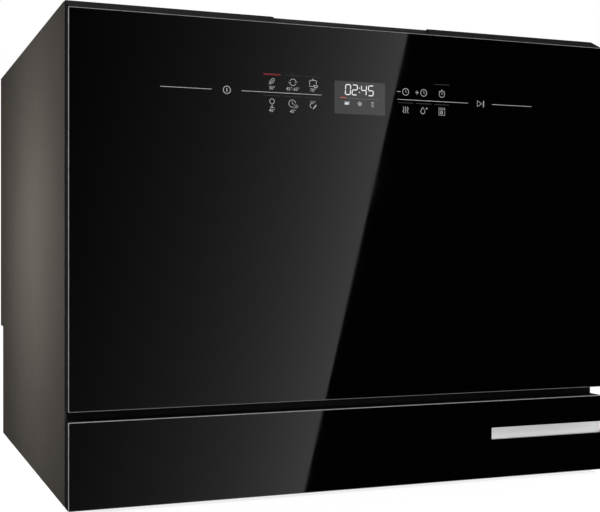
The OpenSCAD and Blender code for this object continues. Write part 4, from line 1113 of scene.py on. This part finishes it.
def light(name, place, aim, size, watts):
    """A soft square lamp at a place, turned to what it lights. Neither the camera nor a reflection
    sees it."""
    data = bpy.data.lights.new(name, "AREA")
    data.shape, data.size, data.size_y, data.energy = "RECTANGLE", size, size, watts
    lamp = bpy.data.objects.new(name, data)
    lamp.location = place
    lamp.rotation_euler = (Vector(aim) - Vector(place)).to_track_quat("-Z", "Y").to_euler()
    lamp.visible_camera = lamp.visible_glossy = False
    scene.collection.objects.link(lamp)


SHEEN_EDGE, SHEEN_LEAN = 0.4471, 0.2472
SHEEN_FALL, SHEEN_FLOOR, SHEEN_PEAK = 9.2, 0.03, 1.06
FRONT_LEFT, FRONT_RIGHT, FRONT_HIGH, NEAREST = (-0.3, -0.05), (1.1, 1.6), (0.35, 0.6), 0.05
BEHIND, BEHIND_HIGH, BEHIND_DIM = (-0.05, 0.2), (0.72, 0.92), 0.014
AMBIENT, SIDE_SHADE, SIDE = 0.6, 0.9, (0.3, 0.7)


def studio_world():
    """White to the camera. To diffuse rays it is an even grey that darkens towards both sides, by
    a smooth step of |x|. A reflection sees the white studio with two dark screens in it. The one
    in front takes u = x / -y from about 0 to 1.3 at low v = z / -y. In it a pale sheet grows as
    exp(fall (u - edge)) up to a straight edge at u = edge + lean v. The one behind takes the
    directions away from the front, below the roof."""
    world = bpy.data.worlds.new("studio")
    world.use_nodes = True
    scene.world = world
    g = Graph(world.node_tree)
    g.nodes.clear()
    rays = g.add("LightPath", {})
    x, y, z = g.add("SeparateXYZ", {"Vector": g.add("TexCoord", {})["Generated"]})
    ahead = g.math("MAXIMUM", g.product(y, -1.0), NEAREST)
    u, v = g.math("DIVIDE", x, ahead), g.math("DIVIDE", z, ahead)
    edge = g.math("ADD", SHEEN_EDGE, g.product(v, SHEEN_LEAN))
    past = g.math("SUBTRACT", u, edge)
    growth = g.math("EXPONENT", g.product(g.math("MINIMUM", past, 0.0), SHEEN_FALL))
    rise = g.math("MAXIMUM", g.math("SUBTRACT", growth, SHEEN_FLOOR), 0.0)
    sheet = g.product(rise, g.math("LESS_THAN", past, 0.0), SHEEN_PEAK)
    front = g.product(g.step(u, *FRONT_LEFT), g.fall(u, *FRONT_RIGHT),
                      g.fall(g.math("ABSOLUTE", v), *FRONT_HIGH), g.math("LESS_THAN", y, -NEAREST))
    behind = g.product(g.step(y, *BEHIND), g.fall(z, *BEHIND_HIGH))
    bare = g.math("SUBTRACT", 1.0, g.math("ADD", front, behind))
    screens = g.math("ADD", g.product(front, sheet), g.product(behind, BEHIND_DIM))
    mirror = g.math("ADD", bare, screens)
    seen = rays["Is Camera Ray"]
    unseen = g.math("SUBTRACT", 1.0, seen)
    glossy = g.product(rays["Is Glossy Ray"], unseen)
    soft = g.product(g.math("SUBTRACT", 1.0, glossy), unseen)
    shade = g.product(g.step(g.math("ABSOLUTE", x), *SIDE), SIDE_SHADE * AMBIENT)
    even = g.product(soft, g.math("SUBTRACT", AMBIENT, shade))
    strength = g.math("ADD", seen, g.math("ADD", g.product(glossy, mirror), even))
    background = g.add("Background", {"Color": (1, 1, 1, 1), "Strength": strength})
    g.add("OutputWorld", {"Surface": background[0]})


FLOOR_REACH, FLOOR_GREY, FLOOR_GLOW = 6.0, 0.3, 0.84


def floor():
    """A plain pale floor: it glows to the camera, so that it reads as white and keeps the
    machine's shadow, and it isn't mirrored in the glass."""
    mesh = bpy.data.meshes.new("floor")
    corners = [(x * FLOOR_REACH, y * FLOOR_REACH, 0) for x, y in ((-1, -1), (1, -1), (1, 1), (-1, 1))]
    mesh.from_pydata(corners, [], [(0, 1, 2, 3)])
    plane = bpy.data.objects.new("floor", mesh)
    scene.collection.objects.link(plane)
    plane.visible_glossy = False
    material = bpy.data.materials.new("pale_floor")
    material.use_nodes = True
    g = Graph(material.node_tree)
    g.nodes.clear()
    seen = g.add("LightPath", {})["Is Camera Ray"]
    diffuse = g.add("BsdfDiffuse", {"Color": (FLOOR_GREY, FLOOR_GREY, FLOOR_GREY, 1)})
    glow = g.add("Emission", {"Strength": g.product(seen, FLOOR_GLOW)})
    both = g.add("AddShader", {0: diffuse[0], 1: glow[0]})
    g.add("OutputMaterial", {"Surface": both[0]})
    mesh.materials.append(material)


SENSOR, LENS = 36.0, 68.36
VIEWPOINT, TURN = (-0.4447, -1.2408, 0.2248), -21.19


def camera():
    """The photograph's view: level, from the front left, a little below half the height."""
    data = bpy.data.cameras.new("camera")
    data.sensor_width, data.lens = SENSOR, LENS
    view = bpy.data.objects.new("camera", data)
    view.location = VIEWPOINT
    view.rotation_euler = (math.radians(90), 0, math.radians(TURN))
    scene.collection.objects.link(view)
    scene.camera = view


# The machine

ARRISES = {0.3: ("left_hinge_bracket", "right_hinge_bracket"),
           0.4: ("plinth_carrier", "detergent_lid", "front_crossmember", "left_rail",
                 "right_rail", "filter_cylinder"),
           0.45: ("left_side_panel", "right_side_panel", "cutlery_basket"),
           0.5: ("door_top_cap", "base_tray", "rack_carriers"),
           0.6: ("worktop", "dispenser_housing", "rinse_aid_cap", "door_lock"),
           0.8: ("salt_cap",)}
CORNERS = ("front_left", "front_right", "rear_left", "rear_right")

dress_nodes()
for width, nodes in ARRISES.items():
    for node in nodes:
        soften(node, width * MM)

x0, x1, y0, y1, z0, z1 = span("trim_strip")
glass_sheet("door_pane", "door_glass", "door")
glass_sheet("plinth_pane", "plinth_glass", "cabinet", (x0, x1, z0, z1, y1 - y0))
trim_strip()
plinth_shade_lip()
glass_print()
indicator_bars()
display_pane()
display_light()
rack_wires()
tine_row()
cup_rack()
for corner in CORNERS:
    rack_wheel("wheel_" + corner)
tub_pressings()
door_pressings()
gasket()
spray_arm()
hinge_coils()
cover_screw_heads()
connection_trims()
for corner in CORNERS:
    foot("foot_" + corner)

studio_world()
floor()
camera()
MIDDLE = (0, 0, 0.25)
for side, name in ((-1, "left_side"), (1, "right_side")):
    light(name, (0.54 * side, -0.03, 0.25), (0, -0.03, 0.25), 0.10, 1.7)
light("key", (-1.3, -2.2, 2.3), MIDDLE, 1.0, 40)
light("top", (0.2, 0.3, 2.6), (0, 0, 0.3), 1.6, 8)
light("rear_fill", (1.7, 2.0, 1.5), MIDDLE, 1.2, 14)

scene.view_settings.view_transform = "Standard"
